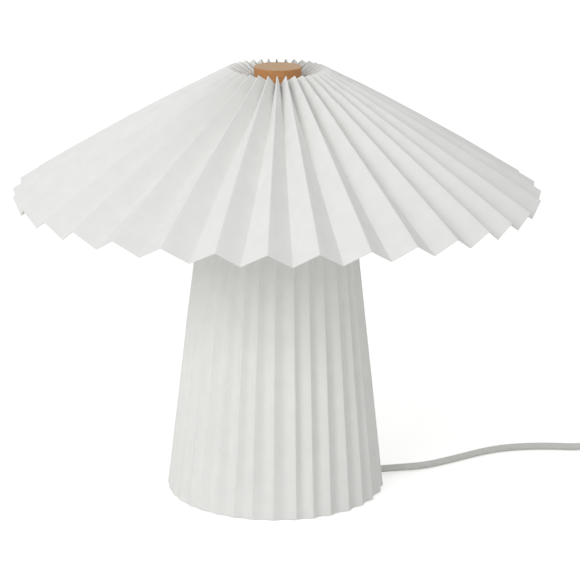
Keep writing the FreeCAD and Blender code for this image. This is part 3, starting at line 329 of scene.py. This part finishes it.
class ShadeSizes(bpy.types.PropertyGroup):
    pleats: IntProperty(name="Pleats", description="Folds round the shade", default=35)
    front_fold: angle_prop("Front fold", "Angle of the outer fold nearest the front", -1.9)
    low_radius: length_prop("Rim radius", "Outer folds at the rim", 0.210)
    low_z: length_prop("Rim height", "Outer folds at the rim", 0.2491)
    high_radius: length_prop("Top radius", "Outer folds at the top", 0.0388)
    high_z: length_prop("Top height", "Outer folds at the top", 0.3466)
    bulge: length_prop("Bulge", "How far the slope bows out at its middle", 0.002)
    depth: length_prop("Fold depth", "From outer to inner folds, square to the slope", 0.0117)
    rim_reach: length_prop("Rim reach", "How far the inner folds lean out at the rim", 0.002)
    top_reach: length_prop("Top reach", "How far the inner folds lean in at the top", 0.009)
    top_rise: length_prop("Top rise", "How far they rise there", 0.0026)
    front_drop: length_prop("Front drop", "How far the two at the front drop instead", 0.0004)
    twist: angle_prop("Twist", "How far the folds turn from the rim to the top", 1.0)
    paper: length_prop("Paper", "Thickness of the lined paper", 0.0004)
    outer_crease: length_prop("Outer crease", "Half width of an outer fold", 0.0004)
    inner_crease: length_prop("Inner crease", "Half width of an inner fold", 0.0006)
    wander: angle_prop("Wander", "Most that a fold strays from its place", 0.9)
    waves: length_prop("Waves", "Size of the soft waves in the paper", 0.06)


class SkirtSizes(bpy.types.PropertyGroup):
    pleats: IntProperty(name="Pleats", description="Folds round the skirt", default=36)
    front_fold: angle_prop("Front fold", "Angle of the outer fold nearest the front", -0.9)
    low_radius: length_prop("Foot radius", "Outer folds at the table", 0.0885)
    low_z: length_prop("Foot height", "Lower edge above the table", 0.001)
    high_radius: length_prop("Top radius", "Outer folds at the top", 0.0597)
    high_z: length_prop("Top height", "Outer folds at the top", 0.250)
    depth: length_prop("Fold depth", "From outer to inner folds, square to the slope", 0.0063)
    foot_reach: length_prop("Foot reach", "How far inner folds lean out at the foot", 0.0025)
    paper: length_prop("Paper", "Thickness of the lined paper", 0.0004)
    outer_crease: length_prop("Outer crease", "Half width of an outer fold", 0.0004)
    inner_crease: length_prop("Inner crease", "Half width of an inner fold", 0.0034)
    wander: angle_prop("Wander", "Most that a fold strays from its place", 0.5)
    waves: length_prop("Waves", "Size of the soft waves in the paper", 0.04)
    notch: length_prop("Notch", "Half width of the arch that the cord leaves by", 0.0048)


class BulbSizes(bpy.types.PropertyGroup):
    thread_radius: length_prop("Thread radius", "Crests of the E14 thread", 0.00695)
    thread_depth: length_prop("Thread depth", "From crest to root", 0.00032)
    pitch: length_prop("Pitch", "From one crest to the next, E14", 0.00282)
    wall: length_prop("Wall", "Thickness of the sheet", 0.00012)
    cone: length_prop("Cone", "Height of the cone at the insulator", 0.002)
    tip_radius: length_prop("Tip radius", "Where the cone meets the insulator", 0.0052)


class CordSizes(bpy.types.PropertyGroup):
    diameter: length_prop("Diameter", "Round two-core mains cord", 0.006)
    length: length_prop("Length", "From the skirt to the plug, with the switch", 1.79)


class LampColours(bpy.types.PropertyGroup):
    paper: colour_prop("Paper", "Lined white paper", "#F4F4F2")
    wood: colour_prop("Wood", "Oiled beech, flat top", "#C39C6E")
    # Painted shade: the knob's turned side is painted in this darker, redder colour than its
    # flat top.
    wood_shaded_side: colour_prop("Wood side", "Oiled beech, turned side", "#C68B54")
    cord: colour_prop("Cord", "Pale grey PVC", "#D8D8D4")
    enamel: colour_prop("Wire", "White powder coat", "#E4E4E0")
    opal: colour_prop("Bulb", "Opal glass", "#F2F1EC")


class StageSetup(bpy.types.PropertyGroup):
    camera_place: FloatVectorProperty(name="Camera", description="Where the camera stands",
                                      default=(0.0, -1.90466, 0.69879),
                                      subtype='TRANSLATION', unit='LENGTH')
    pitch: angle_prop("Pitch", "How far the camera looks down", 15.665)
    turn: angle_prop("Turn", "How far the camera looks to the left", -0.325)
    roll: angle_prop("Roll", "Lean of the camera about its own axis", 0.4125)
    lens: FloatProperty(name="Lens", description="Focal length in millimetres on a 36 mm "
                        "sensor", default=152.46, min=10.0)
    ambient: FloatProperty(name="Ambient", description="Light from all round", default=0.64,
                           min=0.0)
    key: FloatProperty(name="Key light", description="Softbox at the left, in watts",
                       default=21.0, min=0.0)
    falloff: FloatProperty(name="Falloff", description="How much darker the room is on the "
                           "right than in the middle", default=0.15, min=0.0, max=1.0)
    floor: colour_prop("Floor", "Pale seamless floor", "#F0F0EE")
    lift: FloatProperty(name="Floor whiteness", description="How far the floor is lifted to "
                        "white for the camera", default=0.50, min=0.0)


# ---------------------------------------------------------------- stage
# Everything white here is what the lamp stands in; none of it is part of the lamp.
SOFTBOX_PLACE = Vector((-1.36, -2.27, 1.61))
SOFTBOX_AIM = Vector((0.0, 0.0, 0.15))
SOFTBOX_SIZE = 1.3
FLOOR_SIZE = 16.0


def seen_plainly(tree):
    """1 for rays from the camera, a mirror or glass, and 0 for light on the object."""
    rays = add_node(tree, "ShaderNodeLightPath").outputs
    mirror = work_out(tree, 'MAXIMUM', rays["Is Glossy Ray"], rays["Is Transmission Ray"])
    return work_out(tree, 'MAXIMUM', rays["Is Camera Ray"], mirror)


class LAMP_OT_stage(bpy.types.Operator):
    """Put up the camera, the pale floor and the soft light"""
    bl_idname = "paper_lamp.stage"
    bl_label = "Stage"

    def execute(self, context):
        stage = context.scene.paper_lamp_stage
        self.add_camera(stage)
        self.light_the_room(stage)
        self.add_softbox(stage)
        self.add_floor(stage)
        context.scene.view_settings.view_transform = 'Standard'
        return {'FINISHED'}

    def add_camera(self, stage):
        """The photograph's view."""
        look = (Matrix.Rotation(stage.turn, 4, 'Z')
                @ Matrix.Rotation(math.pi / 2 - stage.pitch, 4, 'X')
                @ Matrix.Rotation(stage.roll, 4, 'Z'))
        bpy.ops.object.camera_add(location=stage.camera_place, rotation=look.to_euler())
        camera = bpy.context.active_object
        camera.name = "front_view"
        camera.data.sensor_width = 36
        camera.data.lens = stage.lens
        bpy.context.scene.camera = camera

    def light_the_room(self, stage):
        """Soft light from all round. The camera itself sees plain white."""
        room = bpy.context.scene.world or bpy.data.worlds.new("room")
        bpy.context.scene.world = room
        room.use_nodes = True
        tree = room.node_tree
        tree.nodes.clear()
        # The room is darker on the right, away from the softbox.
        across = add_node(tree, "ShaderNodeTexCoord").outputs["Generated"]
        across = add_node(tree, "ShaderNodeSeparateXYZ", links={"Vector": across}).outputs["X"]
        level = add_node(tree, "ShaderNodeMapRange",
                         {"From Min": -1.0, "From Max": 1.0,
                          "To Min": stage.ambient * (1 + stage.falloff),
                          "To Max": stage.ambient * (1 - stage.falloff)},
                         {"Value": across}).outputs["Result"]
        light = add_node(tree, "ShaderNodeBackground", links={"Strength": level})
        white = add_node(tree, "ShaderNodeBackground", {"Strength": 1.0})
        for background in (light, white):
            background.inputs["Color"].default_value = (1, 1, 1, 1)
        both = add_node(tree, "ShaderNodeMixShader",
                        links={0: seen_plainly(tree), 1: light.outputs[0],
                               2: white.outputs[0]})
        add_node(tree, "ShaderNodeOutputWorld", links={"Surface": both.outputs[0]})

    def add_softbox(self, stage):
        """A large soft light at the left, above the camera's height."""
        aim = (SOFTBOX_AIM - SOFTBOX_PLACE).to_track_quat('-Z', 'Y').to_euler()
        bpy.ops.object.light_add(type='AREA', location=SOFTBOX_PLACE, rotation=aim)
        softbox = bpy.context.active_object
        softbox.name = "softbox"
        softbox.data.shape = 'SQUARE'
        softbox.data.size = SOFTBOX_SIZE
        softbox.data.energy = stage.key

    def add_floor(self, stage):
        """The floor that the lamp and its cord stand on."""
        nothing_chosen()
        bpy.ops.mesh.primitive_plane_add(size=FLOOR_SIZE, location=ORIGIN)
        floor = added("floor")
        # Matt seamless paper: it keeps the lamp's shadow, and is lifted to white only
        # where it is looked at.
        material, tree, shader, _ = start_finish("matt seamless paper", stage.floor, 0.9,
                                                 {"Specular IOR Level": 0.0})
        strength = work_out(tree, 'MULTIPLY', seen_plainly(tree), stage.lift)
        glow = add_node(tree, "ShaderNodeEmission", {"Color": (1, 1, 1, 1)},
                        {"Strength": strength})
        both = add_node(tree, "ShaderNodeAddShader",
                        links={0: shader.outputs[0], 1: glow.outputs[0]})
        link_up(tree, tree.nodes["Material Output"], {"Surface": both.outputs[0]})
        floor.data.materials.append(material)


# ---------------------------------------------------------------- cord
def half_turn(start, side, radius, low, rise):
    """Control points of half a turn, from the east end by the south (side 1) or from the
    west end by the north (side -1). They stand outside the turn as far as its line cuts in."""
    step = math.pi / POINTS_PER_HALF_TURN
    reach = radius / math.cos(step / 2)
    centre = (start[0] - side * radius, start[1])
    points = []
    for index in range(POINTS_PER_HALF_TURN):
        angle = step * (index + 0.5)
        points.append((centre[0] + side * reach * math.cos(angle),
                       centre[1] - side * reach * math.sin(angle),
                       low + rise * (index + 0.5) / POINTS_PER_HALF_TURN))
    return points, (centre[0] - side * radius, start[1])


def coil_points():
    """Inwards on the table, up at the innermost half turn, and outwards on top."""
    turns = ([(radius, CORD_Z, 0.0) for radius in COIL_RADII]
             + [(CLIMB_RADIUS, CORD_Z, COIL_TOP_Z - CORD_Z)]
             + [(radius, COIL_TOP_Z, 0.0) for radius in COIL_TOP_RADII])
    points, place, side = [], COIL_EAST, 1
    for radius, low, rise in turns:
        more, place = half_turn(place, side, radius, low, rise)
        points += more
        side = -side
    return points


class LAMP_OT_cord(bpy.types.Operator):
    """Lay the free cord through its switch and coil to the plug"""
    bl_idname = "paper_lamp.cord"
    bl_label = "Free cord"

    def execute(self, context):
        sizes = context.scene.paper_lamp_cord
        points = TO_SWITCH + IN_SWITCH + TO_COIL + coil_points() + TO_PLUG
        line = bpy.data.curves.new("free_cord", 'CURVE')
        line.dimensions = '3D'
        spline = line.splines.new('NURBS')
        spline.points.add(len(points) - 1)
        for point, place in zip(spline.points, points):
            point.co = (*place, 1.0)
        spline.order_u = 3
        spline.use_endpoint_u = True
        spline.resolution_u = 6
        line.bevel_depth = sizes.diameter / 2
        line.bevel_resolution = 5
        line.use_fill_caps = True
        cord = bpy.data.objects.new("free_cord", line)
        context.scene.collection.objects.link(cord)
        # Extruded PVC: smooth, with a low even sheen and hardly any relief.
        pvc = make_finish("extruded PVC", context.scene.paper_lamp_colours.cord, 0.42, 9.0,
                          0.02, tint=0.03)
        line.materials.append(pvc)
        finish_nodes(pvc, "strain_relief", "base_cord", "lead_wires")
        hand_over(cord, "base", "cord_pvc", "cord_to_switch", "cord_to_coil", "cord_coil",
                  "cord_to_plug")
        return {'FINISHED'}


# ---------------------------------------------------------------- pleated paper
def fold_angle(point):
    """Angle from the front towards +X."""
    return math.atan2(point[0], -point[1])


RINGS = 16             # rows of faces from the lower edge to the upper one
FLAT_CUTS = 3          # cuts across each face between two folds
WIDE_EDGE = 0.003      # only edges longer than this, and across a face, are cut
FOLD_LIMIT = math.radians(25)       # edges sharper than this are folds
CREASE_SEGMENTS = 4    # faces across a rounded fold
WAVE_HEIGHT = 0.0008   # of the paper's soft waves
TWIST_POWER = 3        # the twist gathers towards the top

SHADE_SEED, SKIRT_SEED = 11, 23
RIM_ROWS, FOOT_ROWS = 4, 3          # lowest rows of the shade and the skirt that lean out

# The skirt's folds are deeper at the right: share of the fold depth at the front and the
# back, and what the right side adds to it and the left side takes off.
DEPTH_SHARE, SIDE_SHARE = 0.82, 0.2
NOTCH_LENGTH = 0.03    # of the cutter that leaves the arch
NOTCH_DROP = 0.01      # from the arch's middle to well below the table


class Pleats:
    """A ring of paper folded by hand: a plain cone, ringed, bowed and folded, its folds
    turned to their uneven places and creased."""

    def __init__(self, name, sizes):
        self.sizes = sizes
        rise, run = sizes.high_z - sizes.low_z, sizes.high_radius - sizes.low_radius
        slope = math.hypot(rise, run)
        self.run = run
        self.out, self.up = rise / slope, -run / slope      # square to the slope
        self.half_pitch = math.pi / sizes.pleats
        # The bare cone is the paper's inner face; its thickness is added outwards.
        inset = sizes.paper * self.out
        nothing_chosen()
        bpy.ops.mesh.primitive_cone_add(
            vertices=2 * sizes.pleats, radius1=sizes.low_radius - inset,
            radius2=sizes.high_radius - inset, depth=rise, end_fill_type='NOTHING',
            location=(0, 0, (sizes.high_z + sizes.low_z) / 2 - sizes.paper * self.up),
            rotation=(0, 0, sizes.front_fold))
        self.paper = added(name)
        bpy.ops.object.mode_set(mode='EDIT')
        choose(self.paper, 'EDGE', lambda e: abs(e.verts[0].co.z - e.verts[1].co.z) > rise / 2)
        bpy.ops.mesh.subdivide(number_cuts=RINGS - 1)
        shape = bmesh.from_edit_mesh(self.paper.data)
        shape.verts.index_update()
        self.row, self.column = {}, {}
        for vert in shape.verts:
            place = (fold_angle(vert.co) - sizes.front_fold) / self.half_pitch
            self.column[vert.index] = round(place) % (2 * sizes.pleats)
            self.row[vert.index] = round((vert.co.z - sizes.low_z) / rise * RINGS)

    def choose(self, test):
        """Select the points whose row and fold pass a test."""
        choose(self.paper, 'VERT', lambda v: test(self.row[v.index], self.column[v.index]))

    def angle_of(self, column):
        """Where a fold stands before it strays."""
        angle = self.sizes.front_fold + column * self.half_pitch
        return math.remainder(angle, math.tau)

    def shift(self, row, inset, outward, upward):
        """Move the chosen points of a row straight out from the middle, and up. They stand
        that far in from the outer folds."""
        grow = 1 + outward / (self.sizes.low_radius + self.run * row / RINGS - inset)
        bpy.ops.transform.resize(value=(grow, grow, 1), center_override=ORIGIN)
        bpy.ops.transform.translate(value=(0, 0, upward))

    def turn(self, angle):
        """Turn the chosen points from the front towards +X."""
        bpy.ops.transform.rotate(value=-angle, orient_axis='Z', center_override=ORIGIN)

    def bow_out(self):
        """Bow the slope out, most at its middle."""
        for row in range(1, RINGS):
            share = row / RINGS
            amount = 4 * self.sizes.bulge * share * (1 - share)
            self.choose(lambda r, c: r == row)
            self.shift(row, 0, amount * self.out, amount * self.up)

    def fold(self, depth_at):
        """Push every other column in, each by its own depth."""
        for column in range(1, 2 * self.sizes.pleats, 2):
            angle = self.angle_of(column)
            depth = depth_at(angle)
            self.choose(lambda r, c: c == column)
            bpy.ops.transform.translate(value=(
                -depth * self.out * math.sin(angle), depth * self.out * math.cos(angle),
                -depth * self.up))

    def move_inner(self, row, outward, upward, test=lambda c: True):
        """Move the inner folds of one row straight out from the middle, and up."""
        self.choose(lambda r, c: r == row and c % 2 and test(c))
        self.shift(row, self.sizes.depth * self.out, outward, upward)

    def flare(self, rows, reach):
        """Lean the inner folds out over the lowest rows, most at the edge."""
        for row in range(rows):
            self.move_inner(row, reach * (1 - row / rows) ** 2, 0)

    def stray(self, marks, seed):
        """Turn each fold to its uneven place. Folds with no mark of their own wander."""
        dice = random.Random(seed)
        folds = 2 * self.sizes.pleats
        places, strays = zip(*marks)
        marked = {place % folds for place in places}
        for column in range(folds):
            stray = math.radians(np.interp(column, places, strays, period=folds))
            wander = dice.uniform(-1, 1) * self.sizes.wander
            if column not in marked:
                stray += wander
            self.choose(lambda r, c: c == column)
            self.turn(stray)

    def twist(self, amount):
        """Turn the upper rows a little, most at the top."""
        for row in range(1, RINGS + 1):
            self.choose(lambda r, c: r == row)
            self.turn(amount * (row / RINGS) ** TWIST_POWER)

    def lean(self, marks):
        """Turn single folds on their way up, by listed marks."""
        folds = 2 * self.sizes.pleats
        places, leans = zip(*marks)
        for column in range(folds):
            lean = math.radians(np.interp(column, places, leans, period=folds))
            if not lean:
                continue
            for row in range(1, RINGS + 1):
                self.choose(lambda r, c: r == row and c == column)
                self.turn(lean * row / RINGS)

    def crease(self):
        """Round each fold a little, and cut the flat faces between them finer."""
        for side, width in ((1, self.sizes.outer_crease), (-1, self.sizes.inner_crease)):
            choose(self.paper, 'EDGE', lambda e: len(e.link_faces) == 2
                   and side * e.calc_face_angle_signed() > FOLD_LIMIT)
            bpy.ops.mesh.bevel(offset=width, segments=CREASE_SEGMENTS, affect='EDGES')
        choose(self.paper, 'EDGE', lambda e: e.calc_length() > WIDE_EDGE
               and abs(math.remainder(fold_angle(e.verts[0].co) - fold_angle(e.verts[1].co),
                                      math.tau)) > self.half_pitch / 4)
        bpy.ops.mesh.subdivide(number_cuts=FLAT_CUTS)
        bpy.ops.object.mode_set(mode='OBJECT')

    def thicken(self):
        """Soft waves along and across the faces, and the paper's thickness."""
        waves = bpy.data.textures.new(self.paper.name + "_waves", 'CLOUDS')
        waves.noise_scale = self.sizes.waves
        apply_modifier(self.paper, 'DISPLACE', texture=waves, strength=WAVE_HEIGHT,
                       mid_level=0.5, texture_coords='LOCAL')
        apply_modifier(self.paper, 'SOLIDIFY', thickness=self.sizes.paper, offset=1.0)
        only(self.paper)
        bpy.ops.object.shade_smooth_by_angle(angle=SMOOTH_LIMIT)


class LAMP_OT_shade(bpy.types.Operator):
    """Fold the wide paper shade"""
    bl_idname = "paper_lamp.shade"
    bl_label = "Paper shade"

    def execute(self, context):
        sizes = context.scene.paper_lamp_shade
        pleats = Pleats("shade_pleats", sizes)
        pleats.bow_out()
        pleats.fold(lambda angle: sizes.depth)
        pleats.flare(RIM_ROWS, sizes.rim_reach)
        front = (1, 2 * sizes.pleats - 1)
        pleats.move_inner(RINGS, -sizes.top_reach, sizes.top_rise, lambda c: c not in front)
        pleats.move_inner(RINGS, -sizes.top_reach, -sizes.front_drop, lambda c: c in front)
        pleats.stray(SHADE_STRAYS, SHADE_SEED)
        pleats.twist(sizes.twist)
        pleats.lean(SHADE_LEAN)
        pleats.crease()
        pleats.thicken()
        shade = pleats.paper
        shade.data.materials.append(paper_finish(context))
        hand_over(shade, "shade", "paper", "shade_paper")
        return {'FINISHED'}


class LAMP_OT_skirt(bpy.types.Operator):
    """Fold the paper skirt and cut its notch for the cord"""
    bl_idname = "paper_lamp.skirt"
    bl_label = "Paper skirt"

    def execute(self, context):
        sizes = context.scene.paper_lamp_skirt
        pleats = Pleats("skirt_pleats", sizes)
        pleats.fold(lambda angle: sizes.depth * (DEPTH_SHARE + SIDE_SHARE * math.sin(angle)))
        pleats.flare(FOOT_ROWS, sizes.foot_reach)
        pleats.stray(SKIRT_STRAYS, SKIRT_SEED)
        pleats.lean(SKIRT_LEAN)
        pleats.crease()
        pleats.thicken()
        skirt = pleats.paper
        self.cut_notch(skirt, sizes)
        skirt.data.materials.append(paper_finish(context))
        hand_over(skirt, "base", "paper", "skirt_paper")
        return {'FINISHED'}

    def cut_notch(self, skirt, sizes):
        """An arch over the cord: a lying cylinder, its lower half drawn down."""
        bearing = math.atan2(CORD_EXIT[1], CORD_EXIT[0])
        nothing_chosen()
        bpy.ops.mesh.primitive_cylinder_add(
            vertices=32, radius=sizes.notch, depth=NOTCH_LENGTH,
            location=CORD_EXIT, rotation=(0, math.pi / 2, bearing))
        arch = added("notch")
        bpy.ops.object.mode_set(mode='EDIT')
        choose(arch, 'VERT', lambda v: v.co.z < CORD_EXIT[2] - NEAR)
        bpy.ops.transform.translate(value=(0, 0, -NOTCH_DROP))
        apply_modifier(skirt, 'BOOLEAN', operation='DIFFERENCE', object=arch, solver='EXACT')
        bpy.data.objects.remove(arch)


def paper_finish(context):
    """The one paper that the shade and the skirt share."""
    name = "lined lampshade paper"
    colours = context.scene.paper_lamp_colours
    return bpy.data.materials.get(name) or make_paper(name, colours.paper)


# ---------------------------------------------------------------- finishes of the rest
class LAMP_OT_knob(bpy.types.Operator):
    """Finish the turned wooden knob"""
    bl_idname = "paper_lamp.knob"
    bl_label = "Knob"

    def execute(self, context):
        colours = context.scene.paper_lamp_colours
        # The wood's upright side gets painted shade: a darker, redder colour than the top.
        finish_nodes(make_wood("oiled beech", colours.wood, colours.wood_shaded_side),
                     "wooden_knob")
        return {'FINISHED'}


class LAMP_OT_metal(bpy.types.Operator):
    """Finish the wire, the stem, the weight and the brass"""
    bl_idname = "paper_lamp.metal"
    bl_label = "Metal parts"

    def execute(self, context):
        colours = context.scene.paper_lamp_colours
        # Powder coat: a soft orange peel about 1.2 mm across, half matt.
        finish_nodes(make_finish("white powder coat", colours.enamel, 0.45, 1.2, 0.03,
                                 tint=0.02),
                     "skirt_frame", "shade_bow", "shade_carrier", "stem_tube")
        # Zinc plate: cool grey, a little cloudy, half bright.
        finish_nodes(make_finish("zinc plated steel", linear("#B9BCBE"), 0.36, 3.0, 0.01,
                                 tint=0.08, wear=0.1, Metallic=1.0),
                     "threaded_rod", "stem_washer", "stem_nut", "bow_saddle", "bow_sleeves",
                     "switch_screws", "terminal_screws")
        # Drawn brass: warm yellow with a faint grain from turning.
        finish_nodes(make_finish("drawn brass", linear("#D2AE62"), 0.3, 1.5, 0.008,
                                 tint=0.07, wear=0.08, Metallic=1.0),
                     "bow_stud", "knob_insert", "screw_sleeve", "centre_contact",
                     "plug_pins", "bulb_tip")
        # Sand-cast iron under black stoving paint: dark, uneven, grains about 0.8 mm.
        finish_nodes(make_finish("painted cast iron", linear("#34353A"), 0.6, 0.8, 0.12,
                                 tint=0.12, wear=0.1), "base_weight")
        # Wool felt: matt and fuzzy, fibres drawn 0.5 mm wide.
        finish_nodes(make_finish("wool felt", linear("#6B6A66"), 0.95, 0.5, 0.2, tint=0.15,
                                 wear=0.04), "foot_pad")
        return {'FINISHED'}


class LAMP_OT_holder(bpy.types.Operator):
    """Finish the lampholder and the bulb"""
    bl_idname = "paper_lamp.holder"
    bl_label = "Lampholder and bulb"

    def execute(self, context):
        # Moulded thermoset: off-white, faintly mottled, low gloss.
        finish_nodes(make_finish("moulded thermoset", linear("#E3E1DA"), 0.38, 4.0, 0.01,
                                 tint=0.02), "holder_cap", "holder_shell")
        # Steatite: unglazed ceramic, creamy, with a fine pressed grain.
        finish_nodes(make_finish("steatite", linear("#E9E4D6"), 0.7, 0.6, 0.03, tint=0.03),
                     "holder_core")
        # Nickel plate: bright and slightly warm.
        nickel = make_finish("nickel plate", linear("#C9C5BC"), 0.24, 2.5, 0.006, tint=0.05,
                             Metallic=1.0)
        self.roll_screw_cap(context.scene.paper_lamp_bulb, nickel)
        # Black glass: glossy, fused round the contact.
        finish_nodes(make_finish("black glass", linear("#17130F"), 0.12, 2.0, 0.01,
                                 tint=0.1), "bulb_insulator")
        # Moulded PBT: white, smooth, half matt.
        finish_nodes(make_finish("moulded PBT", linear("#ECEBE6"), 0.45, 3.0, 0.008,
                                 tint=0.015), "bulb_collar")
        # Opal glass: milky, evenly white, a soft gloss.
        finish_nodes(make_finish("opal glass", context.scene.paper_lamp_colours.opal, 0.22,
                                 12.0, 0.004, tint=0.01), "bulb_globe")
        return {'FINISHED'}

    def roll_screw_cap(self, sizes, finish):
        """The bulb's cap, rolled from thin sheet: a plain sleeve with a lip at the collar
        and a cone at the insulator, and a rounded thread wound up it."""
        low, high = (corner[2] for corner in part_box("bulb_screw_cap"))
        high -= sizes.wall
        foot = low + sizes.cone
        root = sizes.thread_radius - sizes.thread_depth
        nothing_chosen()
        bpy.ops.mesh.primitive_cylinder_add(
            vertices=48, radius=root, depth=high - foot, end_fill_type='NOTHING',
            location=(0, 0, (foot + high) / 2))
        cap = added("bulb_cap_thread")
        bpy.ops.object.mode_set(mode='EDIT')
        self.draw_out(cap, foot, sizes.tip_radius / root, low)
        self.draw_out(cap, high, sizes.thread_radius / root, high)
        apply_modifier(cap, 'SOLIDIFY', thickness=sizes.wall, offset=-1.0)

        # The thread starts as half a flattened ring, stood up at the sleeve's foot.
        start = (root, 0, foot + sizes.pitch / 2)
        nothing_chosen()
        bpy.ops.mesh.primitive_circle_add(vertices=16, radius=sizes.pitch / 2,
                                          location=start, rotation=(math.pi / 2, 0, 0))
        thread = added("thread")
        bpy.ops.object.mode_set(mode='EDIT')
        choose(thread, 'VERT', lambda v: v.co.x < root - NEAR)
        bpy.ops.mesh.delete(type='VERT')
        bpy.ops.mesh.select_all(action='SELECT')
        bpy.ops.transform.resize(value=(sizes.thread_depth / (sizes.pitch / 2), 1, 1),
                                 center_override=start)
        turns = int((high - foot) / sizes.pitch - 1)
        apply_modifier(thread, 'SCREW', axis='Z', screw_offset=sizes.pitch, iterations=turns,
                       steps=32, render_steps=32)
        bpy.ops.object.mode_set(mode='EDIT')
        bpy.ops.mesh.select_all(action='SELECT')
        bpy.ops.mesh.normals_make_consistent(inside=False)
        # The thread is an open strip, so its normals are checked against the way out.
        shape = bmesh.from_edit_mesh(thread.data)
        outwards = sum(f.normal.x * f.calc_center_median().x
                       + f.normal.y * f.calc_center_median().y for f in shape.faces)
        if outwards < 0:
            bpy.ops.mesh.flip_normals()
        only(cap)
        thread.select_set(True)
        bpy.ops.object.join()
        bpy.ops.object.shade_smooth_by_angle(angle=SMOOTH_LIMIT)
        cap.data.materials.append(finish)
        hand_over(cap, "bulb_cap", "bulb_nickel", "bulb_screw_cap")

    def draw_out(self, cap, edge_z, share, new_z):
        """Draw one edge of the sleeve out to another width and height."""
        choose(cap, 'VERT', lambda v: abs(v.co.z - edge_z) < NEAR)
        bpy.ops.mesh.extrude_region_move()
        bpy.ops.transform.resize(value=(share, share, 1), center_override=ORIGIN)
        bpy.ops.transform.translate(value=(0, 0, new_z - edge_z))


class LAMP_OT_fittings(bpy.types.Operator):
    """Finish the switch and the plug on the cord"""
    bl_idname = "paper_lamp.fittings"
    bl_label = "Switch and plug"

    def execute(self, context):
        colour = context.scene.paper_lamp_colours.cord
        # Moulded ABS: spark-eroded texture, grains drawn 0.5 mm across.
        finish_nodes(make_finish("moulded ABS", colour, 0.5, 0.5, 0.02, tint=0.03),
                     "switch_lower", "switch_upper", "switch_rocker")
        # Moulded PVC: softer and smoother than the switch.
        finish_nodes(make_finish("moulded PVC", colour, 0.46, 3.0, 0.015, tint=0.03),
                     "plug_body")
        # Pin sleeves: dark polyamide.
        finish_nodes(make_finish("polyamide", linear("#4A4A48"), 0.4, 2.0, 0.01, tint=0.05),
                     "pin_sleeves")
        return {'FINISHED'}


# ---------------------------------------------------------------- add-on
GROUPS = (("paper_lamp_shade", ShadeSizes), ("paper_lamp_skirt", SkirtSizes),
          ("paper_lamp_bulb", BulbSizes), ("paper_lamp_cord", CordSizes),
          ("paper_lamp_colours", LampColours), ("paper_lamp_stage", StageSetup))
STEPS = (LAMP_OT_stage, LAMP_OT_cord, LAMP_OT_shade, LAMP_OT_skirt, LAMP_OT_knob,
         LAMP_OT_metal, LAMP_OT_holder, LAMP_OT_fittings)


class LAMP_PT_pieces(bpy.types.Panel):
    """The lamp's pieces, sizes and colours"""
    bl_idname = "LAMP_PT_pieces"
    bl_label = "Pleated Paper Lamp"
    bl_space_type = 'VIEW_3D'
    bl_region_type = 'UI'
    bl_category = "Paper Lamp"

    def draw(self, context):
        """One box of settings for each group, then a button for each step."""
        for name, group in GROUPS:
            box = self.layout.box()
            for prop in group.__annotations__:
                box.prop(getattr(context.scene, name), prop)
        for step in STEPS:
            self.layout.operator(step.bl_idname)


def register():
    """Make the sizes, the operators and the panel known."""
    for name, group in GROUPS:
        bpy.utils.register_class(group)
        setattr(bpy.types.Scene, name, PointerProperty(type=group))
    for step in STEPS:
        bpy.utils.register_class(step)
    bpy.utils.register_class(LAMP_PT_pieces)


def unregister():
    """Take them away again, last first."""
    bpy.utils.unregister_class(LAMP_PT_pieces)
    for step in reversed(STEPS):
        bpy.utils.unregister_class(step)
    for name, group in reversed(GROUPS):
        delattr(bpy.types.Scene, name)
        bpy.utils.unregister_class(group)


def main():
    """Make every piece."""
    register()
    bpy.ops.paper_lamp.stage()
    bpy.ops.paper_lamp.cord()
    bpy.ops.paper_lamp.shade()
    bpy.ops.paper_lamp.skirt()
    bpy.ops.paper_lamp.knob()
    bpy.ops.paper_lamp.metal()
    bpy.ops.paper_lamp.holder()
    bpy.ops.paper_lamp.fittings()


if __name__ == "__main__":
    main()
